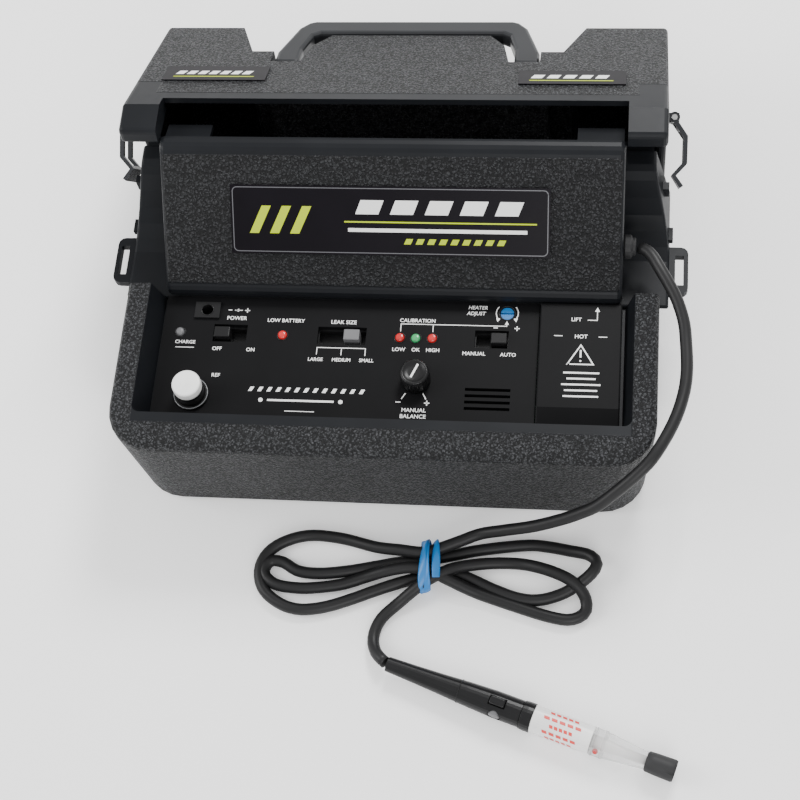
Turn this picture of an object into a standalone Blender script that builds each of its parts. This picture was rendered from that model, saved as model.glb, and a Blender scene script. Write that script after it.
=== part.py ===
"""Refrigerant leak detector: a hand-carried case with a hinged lid, a control
panel, and a sniffer probe on a cable. Lengths below are in millimetres, turned
into metres by the helpers. X runs to the right, Y away from the user, +Z up.
The origin lies on the table under the middle of the closed case."""
import math

import bmesh
import bpy
from mathutils import Matrix, Vector

# Overall case
MM = 0.001
CASE_MID_Y = 124.0
HALF_WIDTH = 144.0
FIT = 0.3
SLIDE = 0.5

# Base tub
RIM_Z = 74.7
DECK_Z = 56.0
RIM_BACK_Y = 98.0
TUB_BACK_Y = 172.0
TUB_CORNER = 24.0
TUB_WALL = 5.0
RECESS_HALF = 126.0
RECESS_FRONT_Y = 21.0
LEDGE = 5.0

# Control panel
PANEL_TOP_Z = 60.0
PANEL_THICK = 3.0
PANEL_BOTTOM_Z = PANEL_TOP_Z - PANEL_THICK
PANEL_FRONT_Y = RECESS_FRONT_Y + 1.5
PANEL_BACK_Y = RIM_BACK_Y
PANEL_HALF = RECESS_HALF - 1.5
BOARD_TOP_Z = 46.0
SENSOR_LEFT_X = 81.0

# Front cover, a wedge with the name plate
COVER_HALF = 124.0
COVER_FRONT = (97.5, 68.0)
COVER_TOP = (155.6, 122.0)
COVER_LIP_Y = 163.0
COVER_FLOOR_Z = PANEL_TOP_Z + 0.8
TAB_INNER_X = 98.5
TAB_END = (175.5, 112.6)
TAB_THICK = 3.0

# Shoulder behind the cover
SHOULDER_HALF = 149.0
SHOULDER_TOP_HALF = 140.0
SHOULDER_TOP_Z = 98.0
EAR_HALF = 159.0
EAR_Y = (107.9, 136.4)
EAR_Z = (52.4, 57.0)
SLOT_X = (EAR_HALF - 7.0, EAR_HALF - 2.4)
SLOT_Y = (113.0, 131.2)
SPIGOT_HALF = 138.8
SPIGOT_BACK_Y = 180.0

# Lid, given closed and turned about its hinge
LID_OPEN = math.radians(8.0)
LID_HALF = HALF_WIDTH + 1.5
HINGE_Y = 176.0
HINGE_Z = 6.0
BARREL_RADIUS = 4.0
HINGE_PIN_RADIUS = 1.5
LID_WALL = 4.0
LID_FRONT = (160.0, 128.2)
LID_LIP_Y = 167.5
PAD_FRONT_Y = 143.0
PAD_TOP_Z = 125.4
PAD_BOTTOM_Z = 115.5
LID_MOUTH_Y = TUB_BACK_Y + FIT + 0.2
LID_END_Y = 263.0
LID_END_Z = 85.0
LID_SLOPE = math.atan2(LID_FRONT[1] - LID_END_Z, LID_END_Y - LID_FRONT[0])
NOTCH_HALF = 88.0
NOTCH_SPREAD = 0.36
NOTCH_Y = 227.0
WELL_HALF = 75.5
WELL_Y = 214.0
TONGUE_END_Y = 248.6

# Handle
HANDLE_PIVOT = (222.0, 94.8)
HANDLE_TILT = math.radians(16.5)
HANDLE_THICK = 9.0
HANDLE_TOP_Y = 265.3
HANDLE_BAR_Y = 251.2
HANDLE_PIN_RADIUS = 1.6

# Latches on the lid's sides
LATCH_PIVOT = (184.7, 93.3)
LATCH_PIVOT_X = 149.2
LATCH_TILT = math.radians(38.0)
LATCH_WIDTH = 18.7
LATCH_THICK = 2.4
LATCH_PIN_RADIUS = 1.5

# Panel controls, by their centres on the panel
SWITCH_Y = 76.0
SWITCH_HOLE_Y = 10.5
POWER_X = -87.0
POWER_HOLE = 18.5
LEAK_X = -25.4
LEAK_HOLE = 26.5
MODE_X = 55.6
MODE_HOLE = 18.0
SLIDER_SIZE = (8.6, 6.4)
LED_RADIUS = 2.5
LEDS = {
    "charge_led": (-114.8, 75.9),
    "low_battery_led": (-57.9, 75.4),
    "calibration_led_low": (6.3, 75.6),
    "calibration_led_ok": (14.9, 75.4),
    "calibration_led_high": (23.8, 75.6),
}
KNOB_AT = (16.9, 50.5)
KNOB_RADIUS = 8.0
KNOB_HEIGHT = 11.0
TRIMMER_AT = (63.2, 92.0)
TRIMMER_RADIUS = 3.6
VIAL_AT = (-103.6, 38.5)
VIAL_RADIUS = 7.6
JACK_AT = (-101.0, 89.4)
JACK_PLATE = (14.0, 9.6)
SPEAKER_AT = (55.3, 40.6)
SPEAKER_SLOT = (24.0, 1.7)
SPEAKER_PITCH = 3.7

# Cable and probe
CABLE_RADIUS = 3.25
CABLE_Z = CABLE_RADIUS + 0.05
GLAND_AT = (COVER_HALF, 124.0, 78.0)
HANK_HEIGHT = 17.0
PROBE_Z = 8.4
PROBE_REAR = (7.8, -89.9)
PROBE_FRONT = (157.4, -138.0)


def clear_scene():
    """Remove whatever the file holds."""
    for item in list(bpy.data.objects):
        bpy.data.objects.remove(item, do_unlink=True)


clear_scene()
PARTS = bpy.data.collections.new("leak_detector")
CUTTERS = bpy.data.collections.new("cutters")
for group in (PARTS, CUTTERS):
    bpy.context.scene.collection.children.link(group)


def place(x, y, z):
    """Point in metres from case millimetres."""
    return Vector((x * MM, (y - CASE_MID_Y) * MM, z * MM))


def make_material(name, colour, roughness, metallic=0.0, alpha=1.0):
    material = bpy.data.materials.new(name)
    material.use_nodes = True
    shader = material.node_tree.nodes["Principled BSDF"]
    shader.inputs["Base Color"].default_value = (*colour, 1.0)
    shader.inputs["Roughness"].default_value = roughness
    shader.inputs["Metallic"].default_value = metallic
    shader.inputs["Alpha"].default_value = alpha
    material.diffuse_color = (*colour, 1.0)
    return material


GRAINED = make_material("grained_black_plastic", (0.055, 0.057, 0.060), 0.62)
SMOOTH = make_material("smooth_black_plastic", (0.050, 0.053, 0.057), 0.42)
PANEL = make_material("panel_black", (0.012, 0.012, 0.013), 0.45)
BLACK = make_material("black_plastic", (0.018, 0.018, 0.019), 0.38)
GREY = make_material("grey_plastic", (0.16, 0.16, 0.165), 0.5)
PLATE = make_material("dark_plate", (0.015, 0.012, 0.016), 0.3)
WHITE = make_material("white_plastic", (0.85, 0.85, 0.84), 0.35)
RED = make_material("red_lens", (0.55, 0.02, 0.02), 0.25)
GREEN = make_material("green_lens", (0.04, 0.30, 0.10), 0.25)
CLEAR = make_material("clear_lens", (0.55, 0.57, 0.58), 0.12, 0.0, 0.4)
BLUE = make_material("blue_plastic", (0.02, 0.22, 0.55), 0.4)
STEEL = make_material("steel", (0.62, 0.62, 0.62), 0.3, 1.0)
BOARD = make_material("circuit_board", (0.02, 0.16, 0.07), 0.5)
RUBBER = make_material("black_rubber", (0.02, 0.02, 0.021), 0.75)


def add(name, mesh, material, cutter=False):
    """Link a mesh as a part or as a cutter."""
    item = bpy.data.objects.new(name, mesh)
    if cutter:
        CUTTERS.objects.link(item)
        item.hide_render = True
        item.display_type = "WIRE"
    else:
        PARTS.objects.link(item)
        mesh.materials.append(material)
    return item


def finish_mesh(name, shape, smooth=None):
    mesh = bpy.data.meshes.new(name)
    bmesh.ops.recalc_face_normals(shape, faces=shape.faces)
    shape.to_mesh(mesh)
    shape.free()
    if smooth:
        mesh.shade_smooth()
        mesh.set_sharp_from_angle(angle=math.radians(smooth))
    return mesh


def box_mesh(name, x, y, z):
    """Box between pairs of case millimetres."""
    shape = bmesh.new()
    bmesh.ops.create_cube(shape, size=1.0)
    low = place(x[0], y[0], z[0])
    high = place(x[1], y[1], z[1])
    size = high - low
    bmesh.ops.scale(shape, vec=size, verts=shape.verts)
    bmesh.ops.translate(shape, vec=(low + high) / 2, verts=shape.verts)
    return finish_mesh(name, shape)


def rod_mesh(name, centre, radius, length, axis="z", sides=32, radius_end=None):
    """Cylinder or cone about its middle, along one axis."""
    shape = bmesh.new()
    top = radius if radius_end is None else radius_end
    bmesh.ops.create_cone(shape, cap_ends=True, segments=sides, radius1=radius * MM,
                          radius2=top * MM, depth=length * MM)
    turn = {"z": Matrix(), "x": Matrix.Rotation(math.pi / 2, 4, "Y"),
            "y": Matrix.Rotation(-math.pi / 2, 4, "X")}[axis]
    bmesh.ops.transform(shape, matrix=Matrix.Translation(place(*centre)) @ turn,
                        verts=shape.verts)
    return finish_mesh(name, shape, 35)


def outline_mesh(name, points, depth):
    """Closed flat outline in XY, thickened evenly about Z, all in millimetres."""
    curve = bpy.data.curves.new(name, "CURVE")
    curve.dimensions = "2D"
    curve.fill_mode = "BOTH"
    curve.extrude = depth / 2 * MM
    spline = curve.splines.new("POLY")
    spline.points.add(len(points) - 1)
    for point, (x, y) in zip(spline.points, points):
        point.co = (x * MM, y * MM, 0.0, 1.0)
    spline.use_cyclic_u = True
    item = bpy.data.objects.new(name, curve)
    CUTTERS.objects.link(item)
    bpy.context.view_layer.update()
    mesh = bpy.data.meshes.new_from_object(item.evaluated_get(bpy.context.evaluated_depsgraph_get()))
    bpy.data.objects.remove(item, do_unlink=True)
    shape = bmesh.new()
    shape.from_mesh(mesh)
    bmesh.ops.remove_doubles(shape, verts=shape.verts, dist=1e-6)
    bmesh.ops.dissolve_limit(shape, angle_limit=0.001, verts=shape.verts, edges=shape.edges)
    return finish_mesh(name, shape)


def plan_mesh(name, points, z):
    """Outline seen from above, in case millimetres, between two heights."""
    flat = [(x, y - CASE_MID_Y) for x, y in points]
    mesh = outline_mesh(name, flat, z[1] - z[0])
    mesh.transform(Matrix.Translation((0, 0, (z[0] + z[1]) / 2 * MM)))
    return mesh


def side_mesh(name, points, x):
    """Outline of (y, z) points seen from the side, between two x positions."""
    flat = [(y - CASE_MID_Y, z) for y, z in points]
    mesh = outline_mesh(name, flat, x[1] - x[0])
    turn = Matrix(((0, 0, 1, 0), (1, 0, 0, 0), (0, 1, 0, 0), (0, 0, 0, 1)))
    mesh.transform(Matrix.Translation(((x[0] + x[1]) / 2 * MM, 0, 0)) @ turn)
    return mesh


def round_box_points(x, y, radius, steps=6):
    """Rounded rectangle between two x and two y positions."""
    points = []
    corners = ((x[1] - radius, y[1] - radius, 0), (x[0] + radius, y[1] - radius, 90),
               (x[0] + radius, y[0] + radius, 180), (x[1] - radius, y[0] + radius, 270))
    for cx, cy, start in corners:
        for step in range(steps + 1):
            angle = math.radians(start + 90 * step / steps)
            points.append((cx + radius * math.cos(angle), cy + radius * math.sin(angle)))
    return points


def bevel(item, width, segments=2, angle=30):
    modifier = item.modifiers.new("edges", "BEVEL")
    modifier.width = width * MM
    modifier.segments = segments
    modifier.limit_method = "ANGLE"
    modifier.angle_limit = math.radians(angle)


def combine(item, others, operation):
    """Boolean with each of the other objects, which become guides."""
    for other in others:
        modifier = item.modifiers.new(operation.lower(), "BOOLEAN")
        modifier.operation = operation
        modifier.solver = "EXACT"
        modifier.object = other


def cut(item, *meshes):
    combine(item, [add(mesh.name, mesh, None, True) for mesh in meshes], "DIFFERENCE")


def join(item, *meshes):
    combine(item, [add(mesh.name, mesh, None, True) for mesh in meshes], "UNION")


def taper_floor(mesh, share_x, share_y, below):
    """Draw the lower points of a mesh in, for the moulding draft."""
    for vertex in mesh.vertices:
        if vertex.co.z < below * MM:
            vertex.co.x *= share_x
            vertex.co.y *= share_y


def axis_empty(name, at, angles):
    """Empty on an axis; pieces built in case coordinates turn with it."""
    empty = bpy.data.objects.new(name, None)
    PARTS.objects.link(empty)
    empty.location = place(*at)
    empty.rotation_euler = angles
    return empty


def hang(item, parent):
    """Parent an item, and the guides of its modifiers, built in case coordinates."""
    item.parent = parent
    item.matrix_parent_inverse = Matrix.Translation(-parent.location)
    for modifier in item.modifiers:
        if modifier.type == "BOOLEAN" and modifier.object.parent is None:
            hang(modifier.object, parent)


# Base tub with its sunk panel bay
tub_outline = round_box_points((-HALF_WIDTH, HALF_WIDTH), (0, TUB_BACK_Y), TUB_CORNER)
tub_mesh = plan_mesh("base_tub", tub_outline, (0, RIM_Z))
taper_floor(tub_mesh, 0.968, 0.985, 1.0)
base_tub = add("base_tub", tub_mesh, GRAINED)
bevel(base_tub, 4.0, 3, 40)
recess = plan_mesh("cut_recess", round_box_points((-RECESS_HALF, RECESS_HALF),
                   (RECESS_FRONT_Y, 140), 4), (PANEL_BOTTOM_Z - FIT, RIM_Z + 5))
taper_floor(recess, 1.0, 1.0, 1.0)
for vertex in recess.vertices:
    if vertex.co.z > RIM_Z * MM:
        vertex.co.x *= 1.05
cavity = box_mesh("cut_cavity", (-HALF_WIDTH + 12, HALF_WIDTH - 12), (12, TUB_BACK_Y - 12),
                  (TUB_WALL, DECK_Z - 5))
throat = box_mesh("cut_throat", (-RECESS_HALF + LEDGE, RECESS_HALF - LEDGE),
                  (RECESS_FRONT_Y + LEDGE, RIM_BACK_Y - 0.7), (DECK_Z - 10, PANEL_BOTTOM_Z + 1))
deck_cut = box_mesh("cut_deck", (-200, 200), (RIM_BACK_Y, 220), (DECK_Z, RIM_Z + 20))
cut(base_tub, recess, deck_cut, cavity, throat)
barrel_spans = ((-80, -60), (60, 80))
for index, span in enumerate(barrel_spans):
    middle = (span[0] + span[1]) / 2
    arm = box_mesh(f"join_tub_arm_{index}", span, (TUB_BACK_Y - 6, HINGE_Y), (HINGE_Z - 3, HINGE_Z + 3))
    barrel = rod_mesh(f"join_tub_barrel_{index}", (middle, HINGE_Y, HINGE_Z), BARREL_RADIUS,
                      span[1] - span[0], "x", 20)
    join(base_tub, arm, barrel)
cut(base_tub, rod_mesh("cut_tub_pin", (0, HINGE_Y, HINGE_Z), HINGE_PIN_RADIUS + FIT, 200, "x", 16))

# Smooth shoulder with the slotted ears, open towards the lid
shoulder_profile = [(RIM_BACK_Y + FIT, DECK_Z + FIT), (TUB_BACK_Y, DECK_Z + FIT),
                    (TUB_BACK_Y, SHOULDER_TOP_Z), (163.0, SHOULDER_TOP_Z), (159.5, 96.5),
                    (156.5, 92.0), (152.0, 82.0), (147.0, 72.5), (141.0, 65.5), (134.0, 61.0),
                    (126.0, 59.3), (RIM_BACK_Y + FIT, 59.0)]
shoulder_mesh = side_mesh("storage_bin", shoulder_profile, (-SHOULDER_HALF, SHOULDER_HALF))
for vertex in shoulder_mesh.vertices:
    share = (vertex.co.z / MM - DECK_Z - FIT) / (SHOULDER_TOP_Z - DECK_Z - FIT)
    vertex.co.x *= 1 - share * (1 - SHOULDER_TOP_HALF / SHOULDER_HALF)
storage_bin = add("storage_bin", shoulder_mesh, SMOOTH)
bevel(storage_bin, 1.2, 2, 50)
bin_floor = DECK_Z + FIT + 3
join(storage_bin, box_mesh("join_spigot", (-SPIGOT_HALF, SPIGOT_HALF), (TUB_BACK_Y - 10, SPIGOT_BACK_Y),
                           (DECK_Z + 1, SHOULDER_TOP_Z - 4)))
for side, sign in (("left", -1), ("right", 1)):
    span = sorted((sign * 140, sign * EAR_HALF))
    ear = plan_mesh(f"join_ear_{side}", round_box_points(span, EAR_Y, 4.0, 3), EAR_Z)
    stop = box_mesh(f"join_stop_{side}", sorted((sign * 144, sign * 150.5)), (138.8, 146.6), (57.1, 60.6))
    catch = box_mesh(f"join_catch_{side}", sorted((sign * 138, sign * (LATCH_PIVOT_X - 1.6))), (159.5, 164.0), (71.5, 79.0))
    join(storage_bin, ear, stop, catch)
bin_space = side_mesh("cut_bin", [(146.0, bin_floor), (220.0, bin_floor), (220.0, SHOULDER_TOP_Z - 7.5),
                                  (163.5, SHOULDER_TOP_Z - 7.5), (158.0, 86.0), (152.0, 74.0),
                                  (146.0, 66.5)], (-SPIGOT_HALF + 3.5, SPIGOT_HALF - 3.5))
cut(storage_bin, bin_space)
for side, sign in (("left", -1), ("right", 1)):
    span = sorted((sign * SLOT_X[0], sign * SLOT_X[1]))
    cut(storage_bin, box_mesh(f"cut_ear_slot_{side}", span, SLOT_Y, (40, 70)))
    cut(base_tub, box_mesh(f"cut_ear_seat_{side}", sorted((sign * 139.4, sign * 160)),
                           (EAR_Y[0] - 0.6, EAR_Y[1] + 0.6), (EAR_Z[0] - 0.4, 80)))

# Front cover, hollow from below, with two tongues that guide the lid
cover_profile = [COVER_FRONT, COVER_TOP, (COVER_LIP_Y, COVER_TOP[1]), (COVER_LIP_Y, 101.0),
                 (157.5, 99.3), (153.5, 93.0), (149.0, 83.0), (144.0, 73.5), (138.0, 66.5),
                 (131.0, 62.0), (124.0, 60.6), (COVER_FRONT[0], COVER_FLOOR_Z)]
front_cover = add("front_cover", side_mesh("front_cover", cover_profile, (-COVER_HALF, COVER_HALF)),
                  GRAINED)
bevel(front_cover, 2.5, 2, 30)
tab_profile = [(COVER_LIP_Y - 5, 118.0), TAB_END, (TAB_END[0], TAB_END[1] - TAB_THICK),
               (COVER_LIP_Y - 5, 118.0 - TAB_THICK - 1)]
for side, sign in (("left", -1), ("right", 1)):
    span = sorted((sign * TAB_INNER_X, sign * (COVER_HALF - 1)))
    join(front_cover, side_mesh(f"join_tab_{side}", tab_profile, span))
cover_space = side_mesh("cut_cover", [(102.5, 59.0), (103.5, 69.0), (153.5, 115.5), (156.5, 117.5),
                                      (158.5, 117.5), (158.5, 103.0), (154.0, 100.0), (120.0, 50.0)],
                        (-COVER_HALF + 4, COVER_HALF - 4))
cut(front_cover, cover_space)
cut(front_cover, rod_mesh("cut_gland_hole", GLAND_AT, 5.0 + FIT, 20, "x", 24))

cover_angle = math.atan2(COVER_TOP[1] - COVER_FRONT[1], COVER_TOP[0] - COVER_FRONT[0])


def on_cover(share, lift):
    """Point (y, z) part way up the cover's face, lifted off it."""
    y = COVER_FRONT[0] + share * (COVER_TOP[0] - COVER_FRONT[0])
    z = COVER_FRONT[1] + share * (COVER_TOP[1] - COVER_FRONT[1])
    return y - lift * math.sin(cover_angle), z + lift * math.cos(cover_angle)


plate_low, plate_high = 0.275, 0.745
plate_profile = [on_cover(plate_low, FIT), on_cover(plate_high, FIT),
                 on_cover(plate_high, 1.0), on_cover(plate_low, 1.0)]
name_plate = add("name_plate", side_mesh("name_plate", plate_profile, (-85.6, 85.6)), PLATE)

# Lid and what it carries, all built closed and turned with the empty
lid_axis = axis_empty("lid_axis", (0, HINGE_Y, HINGE_Z), (-LID_OPEN, 0, 0))


def lid_top(y):
    return LID_FRONT[1] - (y - LID_FRONT[0]) * math.tan(LID_SLOPE)


lid_profile = [(LID_MOUTH_Y, 12.0), (LID_MOUTH_Y, PAD_BOTTOM_Z), (PAD_FRONT_Y, PAD_BOTTOM_Z),
               (PAD_FRONT_Y, PAD_TOP_Z), LID_FRONT,
               (LID_END_Y - 4, lid_top(LID_END_Y - 4)), (LID_END_Y, LID_END_Z - 5),
               (LID_END_Y, 30.0), (LID_END_Y - 6, 22.5), (181.5, 3.0), (181.5, 12.0)]
lid_shell = add("lid_shell", side_mesh("lid_shell", lid_profile, (-LID_HALF, LID_HALF)), GRAINED)
bevel(lid_shell, 2.5, 3, 40)


def notch_points(grown):
    """Plan of the handle's notch, grown by a wall."""
    back = 300.0
    spread = (back - NOTCH_Y) * NOTCH_SPREAD
    half = NOTCH_HALF + grown
    return [(-half, NOTCH_Y - grown), (half, NOTCH_Y - grown), (half + spread, back), (-half - spread, back)]


cut(lid_shell, plan_mesh("cut_notch", notch_points(0.0), (-20, 150)),
    box_mesh("cut_well", (-WELL_HALF, WELL_HALF), (WELL_Y, 300), (-20, 150)))
lid_space_profile = [(LID_LIP_Y, 7.5), (186.0, 7.5), (LID_END_Y - LID_WALL, 27.5),
                     (LID_END_Y - LID_WALL, lid_top(LID_END_Y) - 4.0),
                     (LID_LIP_Y, lid_top(LID_LIP_Y) - LID_WALL)]
lid_space = add("cut_lid_space", side_mesh("cut_lid_space", lid_space_profile,
                (-LID_HALF + LID_WALL, LID_HALF - LID_WALL)), None, True)
cut(lid_space, plan_mesh("cut_space_notch", notch_points(LID_WALL), (-20, 150)),
    box_mesh("cut_space_well", (-WELL_HALF - LID_WALL, WELL_HALF + LID_WALL),
             (WELL_Y - LID_WALL, 300), (-20, 150)))
combine(lid_shell, [lid_space], "DIFFERENCE")
cut(lid_shell, box_mesh("cut_lip_bay", (-COVER_HALF - 0.8, COVER_HALF + 0.8), (135, LID_LIP_Y), (80, 150)))
tongue_base_y = WELL_Y - 3.0
tongue_points = [(-59, tongue_base_y), (59, tongue_base_y), (58, WELL_Y + 2), (54.5, 235), (45.5, TONGUE_END_Y),
                 (-45.5, TONGUE_END_Y), (-54.5, 235), (-58, WELL_Y + 2)]
tongue_points = [(x, tongue_base_y + (y - tongue_base_y) / math.cos(LID_SLOPE)) for x, y in tongue_points]
tongue = plan_mesh("join_tongue", tongue_points, (-9.0, 0.0))
tongue.transform(Matrix.Translation(-place(0, tongue_base_y, 0)))
tongue.transform(Matrix.Translation(place(0, tongue_base_y, lid_top(tongue_base_y)))
                 @ Matrix.Rotation(-LID_SLOPE, 4, "X"))
join(lid_shell, tongue)
lid_barrels = ((-58, -40), (40, 58))
for index, span in enumerate(lid_barrels):
    middle = (span[0] + span[1]) / 2
    arm = box_mesh(f"join_lid_arm_{index}", span, (HINGE_Y, 186), (HINGE_Z - 1.5, HINGE_Z + 3))
    barrel = rod_mesh(f"join_lid_barrel_{index}", (middle, HINGE_Y, HINGE_Z), BARREL_RADIUS,
                      span[1] - span[0], "x", 20)
    join(lid_shell, arm, barrel)
cut(lid_shell, rod_mesh("cut_lid_pin", (0, HINGE_Y, HINGE_Z), HINGE_PIN_RADIUS + FIT, 200, "x", 16),
    rod_mesh("cut_handle_pins", (0, *HANDLE_PIVOT), HANDLE_PIN_RADIUS + FIT, 162, "x", 16))

badge_spans = {"left": ((-131.0, -73.0), (188.6, 205.6)), "right": ((65.6, 123.0), (185.8, 201.9))}
for side, (x, y) in badge_spans.items():
    profile = [(y[0], lid_top(y[0]) + FIT), (y[1], lid_top(y[1]) + FIT),
               (y[1], lid_top(y[1]) + 0.9), (y[0], lid_top(y[0]) + 0.9)]
    hang(add(f"lid_badge_{side}", side_mesh(f"lid_badge_{side}", profile, x), PLATE), lid_axis)

# Carrying handle, a flat bail that folds down behind the lid
handle_points = [(-74.5, HANDLE_PIVOT[0] - 4.5), (-60.8, HANDLE_PIVOT[0] - 4.5), (-60.4, 232.4),
                 (-56.5, HANDLE_BAR_Y - 3.0), (-52.5, HANDLE_BAR_Y), (52.5, HANDLE_BAR_Y), (56.5, HANDLE_BAR_Y - 3.0),
                 (60.4, 232.4), (60.8, HANDLE_PIVOT[0] - 4.5), (74.5, HANDLE_PIVOT[0] - 4.5), (74.5, 229.3),
                 (66.5, 256.9), (61.5, HANDLE_TOP_Y - 1.8), (57.5, HANDLE_TOP_Y), (-57.5, HANDLE_TOP_Y),
                 (-61.5, HANDLE_TOP_Y - 1.8), (-66.5, 256.9), (-74.5, 229.3)]
handle_z = (HANDLE_PIVOT[1] - HANDLE_THICK / 2, HANDLE_PIVOT[1] + HANDLE_THICK / 2)


def turn_about(mesh, pivot, angle):
    """Turn a mesh about a line along X through (y, z)."""
    mesh.transform(Matrix.Translation(-place(0, *pivot)))
    mesh.transform(Matrix.Translation(place(0, *pivot)) @ Matrix.Rotation(angle, 4, "X"))
    return mesh


handle_mesh = turn_about(plan_mesh("carry_handle", handle_points, handle_z), HANDLE_PIVOT, -HANDLE_TILT)
carry_handle = add("carry_handle", handle_mesh, SMOOTH)
bevel(carry_handle, 2.2, 3, 40)
cut(carry_handle, rod_mesh("cut_handle_bore", (0, *HANDLE_PIVOT), HANDLE_PIN_RADIUS + FIT, 180, "x", 16))
hang(carry_handle, lid_axis)
for side, sign in (("left", -1), ("right", 1)):
    pin = rod_mesh(f"handle_pin_{side}", (sign * 70.5, *HANDLE_PIVOT), HANDLE_PIN_RADIUS, 17, "x", 16)
    hang(add(f"handle_pin_{side}", pin, STEEL), lid_axis)

# Hinge pin
hinge_pin = add("lid_hinge_pin", rod_mesh("lid_hinge_pin", (0, HINGE_Y, HINGE_Z),
                                          HINGE_PIN_RADIUS, 162, "x", 16), STEEL)

# Latches: sprung frames with an outward bow, hooked at the free end
latch_line = [(148.2, 0), (155.4, -10.3), (155.4, -24.3), (149.6, -30.9), (153.8, -37.1)]


def strip_points(line, thick):
    """Outline of a bent strip of even thickness, in plan."""
    outer = []
    inner = []
    for index, (x, y) in enumerate(line):
        before = Vector(line[max(index - 1, 0)])
        after = Vector(line[min(index + 1, len(line) - 1)])
        along = (after - before).normalized()
        outer.append((x + along.y * thick / 2, y - along.x * thick / 2))
        inner.append((x - along.y * thick / 2, y + along.x * thick / 2))
    return outer + inner[::-1]


latch_z = (LATCH_PIVOT[1] - LATCH_WIDTH / 2, LATCH_PIVOT[1] + LATCH_WIDTH / 2)


def tilted(mesh):
    """A mesh built level about the latch's pivot, turned nose down."""
    return turn_about(mesh, LATCH_PIVOT, LATCH_TILT)


def latch_pivot_rod(name, sign, radius, length):
    return tilted(rod_mesh(name, (sign * LATCH_PIVOT_X, *LATCH_PIVOT), radius, length, "z", 20))


for side, sign in (("left", -1), ("right", 1)):
    strip = [(sign * x, y + LATCH_PIVOT[0]) for x, y in strip_points(latch_line, LATCH_THICK)]
    latch = add(f"latch_{side}", tilted(plan_mesh(f"latch_{side}", strip, latch_z)), SMOOTH)
    join(latch, latch_pivot_rod(f"join_latch_eye_{side}", sign, 2.9, LATCH_WIDTH - 1))
    window = box_mesh(f"cut_latch_window_{side}", sorted((sign * 145.5, sign * 160)),
                      (LATCH_PIVOT[0] - 29, LATCH_PIVOT[0] - 7), (latch_z[0] + 3.2, latch_z[1] - 3.2))
    eye_gap = box_mesh(f"cut_latch_eye_{side}", sorted((sign * 140, sign * 153.6)),
                       (LATCH_PIVOT[0] - 5, LATCH_PIVOT[0] + 5), (LATCH_PIVOT[1] - 4.6, LATCH_PIVOT[1] + 4.6))
    bore = latch_pivot_rod(f"cut_latch_bore_{side}", sign, LATCH_PIN_RADIUS + FIT, LATCH_WIDTH + 10)
    cut(latch, tilted(window), tilted(eye_gap), bore)
    hang(latch, lid_axis)
    lug = box_mesh(f"join_latch_lug_{side}", sorted((sign * 143.2, sign * (LATCH_PIVOT_X + 2.6))),
                   (LATCH_PIVOT[0] - 2.6, LATCH_PIVOT[0] + 2.6), (LATCH_PIVOT[1] - 4.2, LATCH_PIVOT[1] + 4.2))
    join(lid_shell, tilted(lug))
    cut(lid_shell, latch_pivot_rod(f"cut_lug_bore_{side}", sign, LATCH_PIN_RADIUS + FIT, 13))
    pin = latch_pivot_rod(f"latch_pin_{side}", sign, LATCH_PIN_RADIUS, LATCH_WIDTH)
    hang(add(f"latch_pin_{side}", pin, STEEL), lid_axis)
hang(lid_shell, lid_axis)

# Control panel plate and its openings
control_panel = add("control_panel", box_mesh("control_panel", (-PANEL_HALF, SENSOR_LEFT_X - 0.5),
                    (PANEL_FRONT_Y, PANEL_BACK_Y), (PANEL_BOTTOM_Z, PANEL_TOP_Z)), PANEL)
openings = {"power": (POWER_X, POWER_HOLE), "leak_size": (LEAK_X, LEAK_HOLE), "mode": (MODE_X, MODE_HOLE)}
through = (PANEL_BOTTOM_Z - 3, PANEL_TOP_Z + 3)
for name, (x, width) in openings.items():
    cut(control_panel, box_mesh(f"cut_{name}_opening", (x - width / 2, x + width / 2),
                                (SWITCH_Y - SWITCH_HOLE_Y / 2, SWITCH_Y + SWITCH_HOLE_Y / 2), through))
round_holes = {name: (at, LED_RADIUS + FIT) for name, at in LEDS.items()}
round_holes["knob"] = (KNOB_AT, 3.4)
round_holes["trimmer"] = (TRIMMER_AT, 4.0)
round_holes["vial"] = (VIAL_AT, VIAL_RADIUS + FIT)
for name, ((x, y), radius) in round_holes.items():
    cut(control_panel, rod_mesh(f"cut_{name}_hole", (x, y, PANEL_TOP_Z), radius, 14, "z", 20))
cut(control_panel, box_mesh("cut_jack_hole", (JACK_AT[0] - 5.5, JACK_AT[0] + 5.5),
                            (JACK_AT[1] - 4.2, JACK_AT[1] + 4.2), through))
for row in range(4):
    y = SPEAKER_AT[1] + (row - 1.5) * SPEAKER_PITCH
    cut(control_panel, box_mesh(f"cut_speaker_slot_{row}",
                                (SPEAKER_AT[0] - SPEAKER_SLOT[0] / 2, SPEAKER_AT[0] + SPEAKER_SLOT[0] / 2),
                                (y - SPEAKER_SLOT[1] / 2, y + SPEAKER_SLOT[1] / 2), through))

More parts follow.
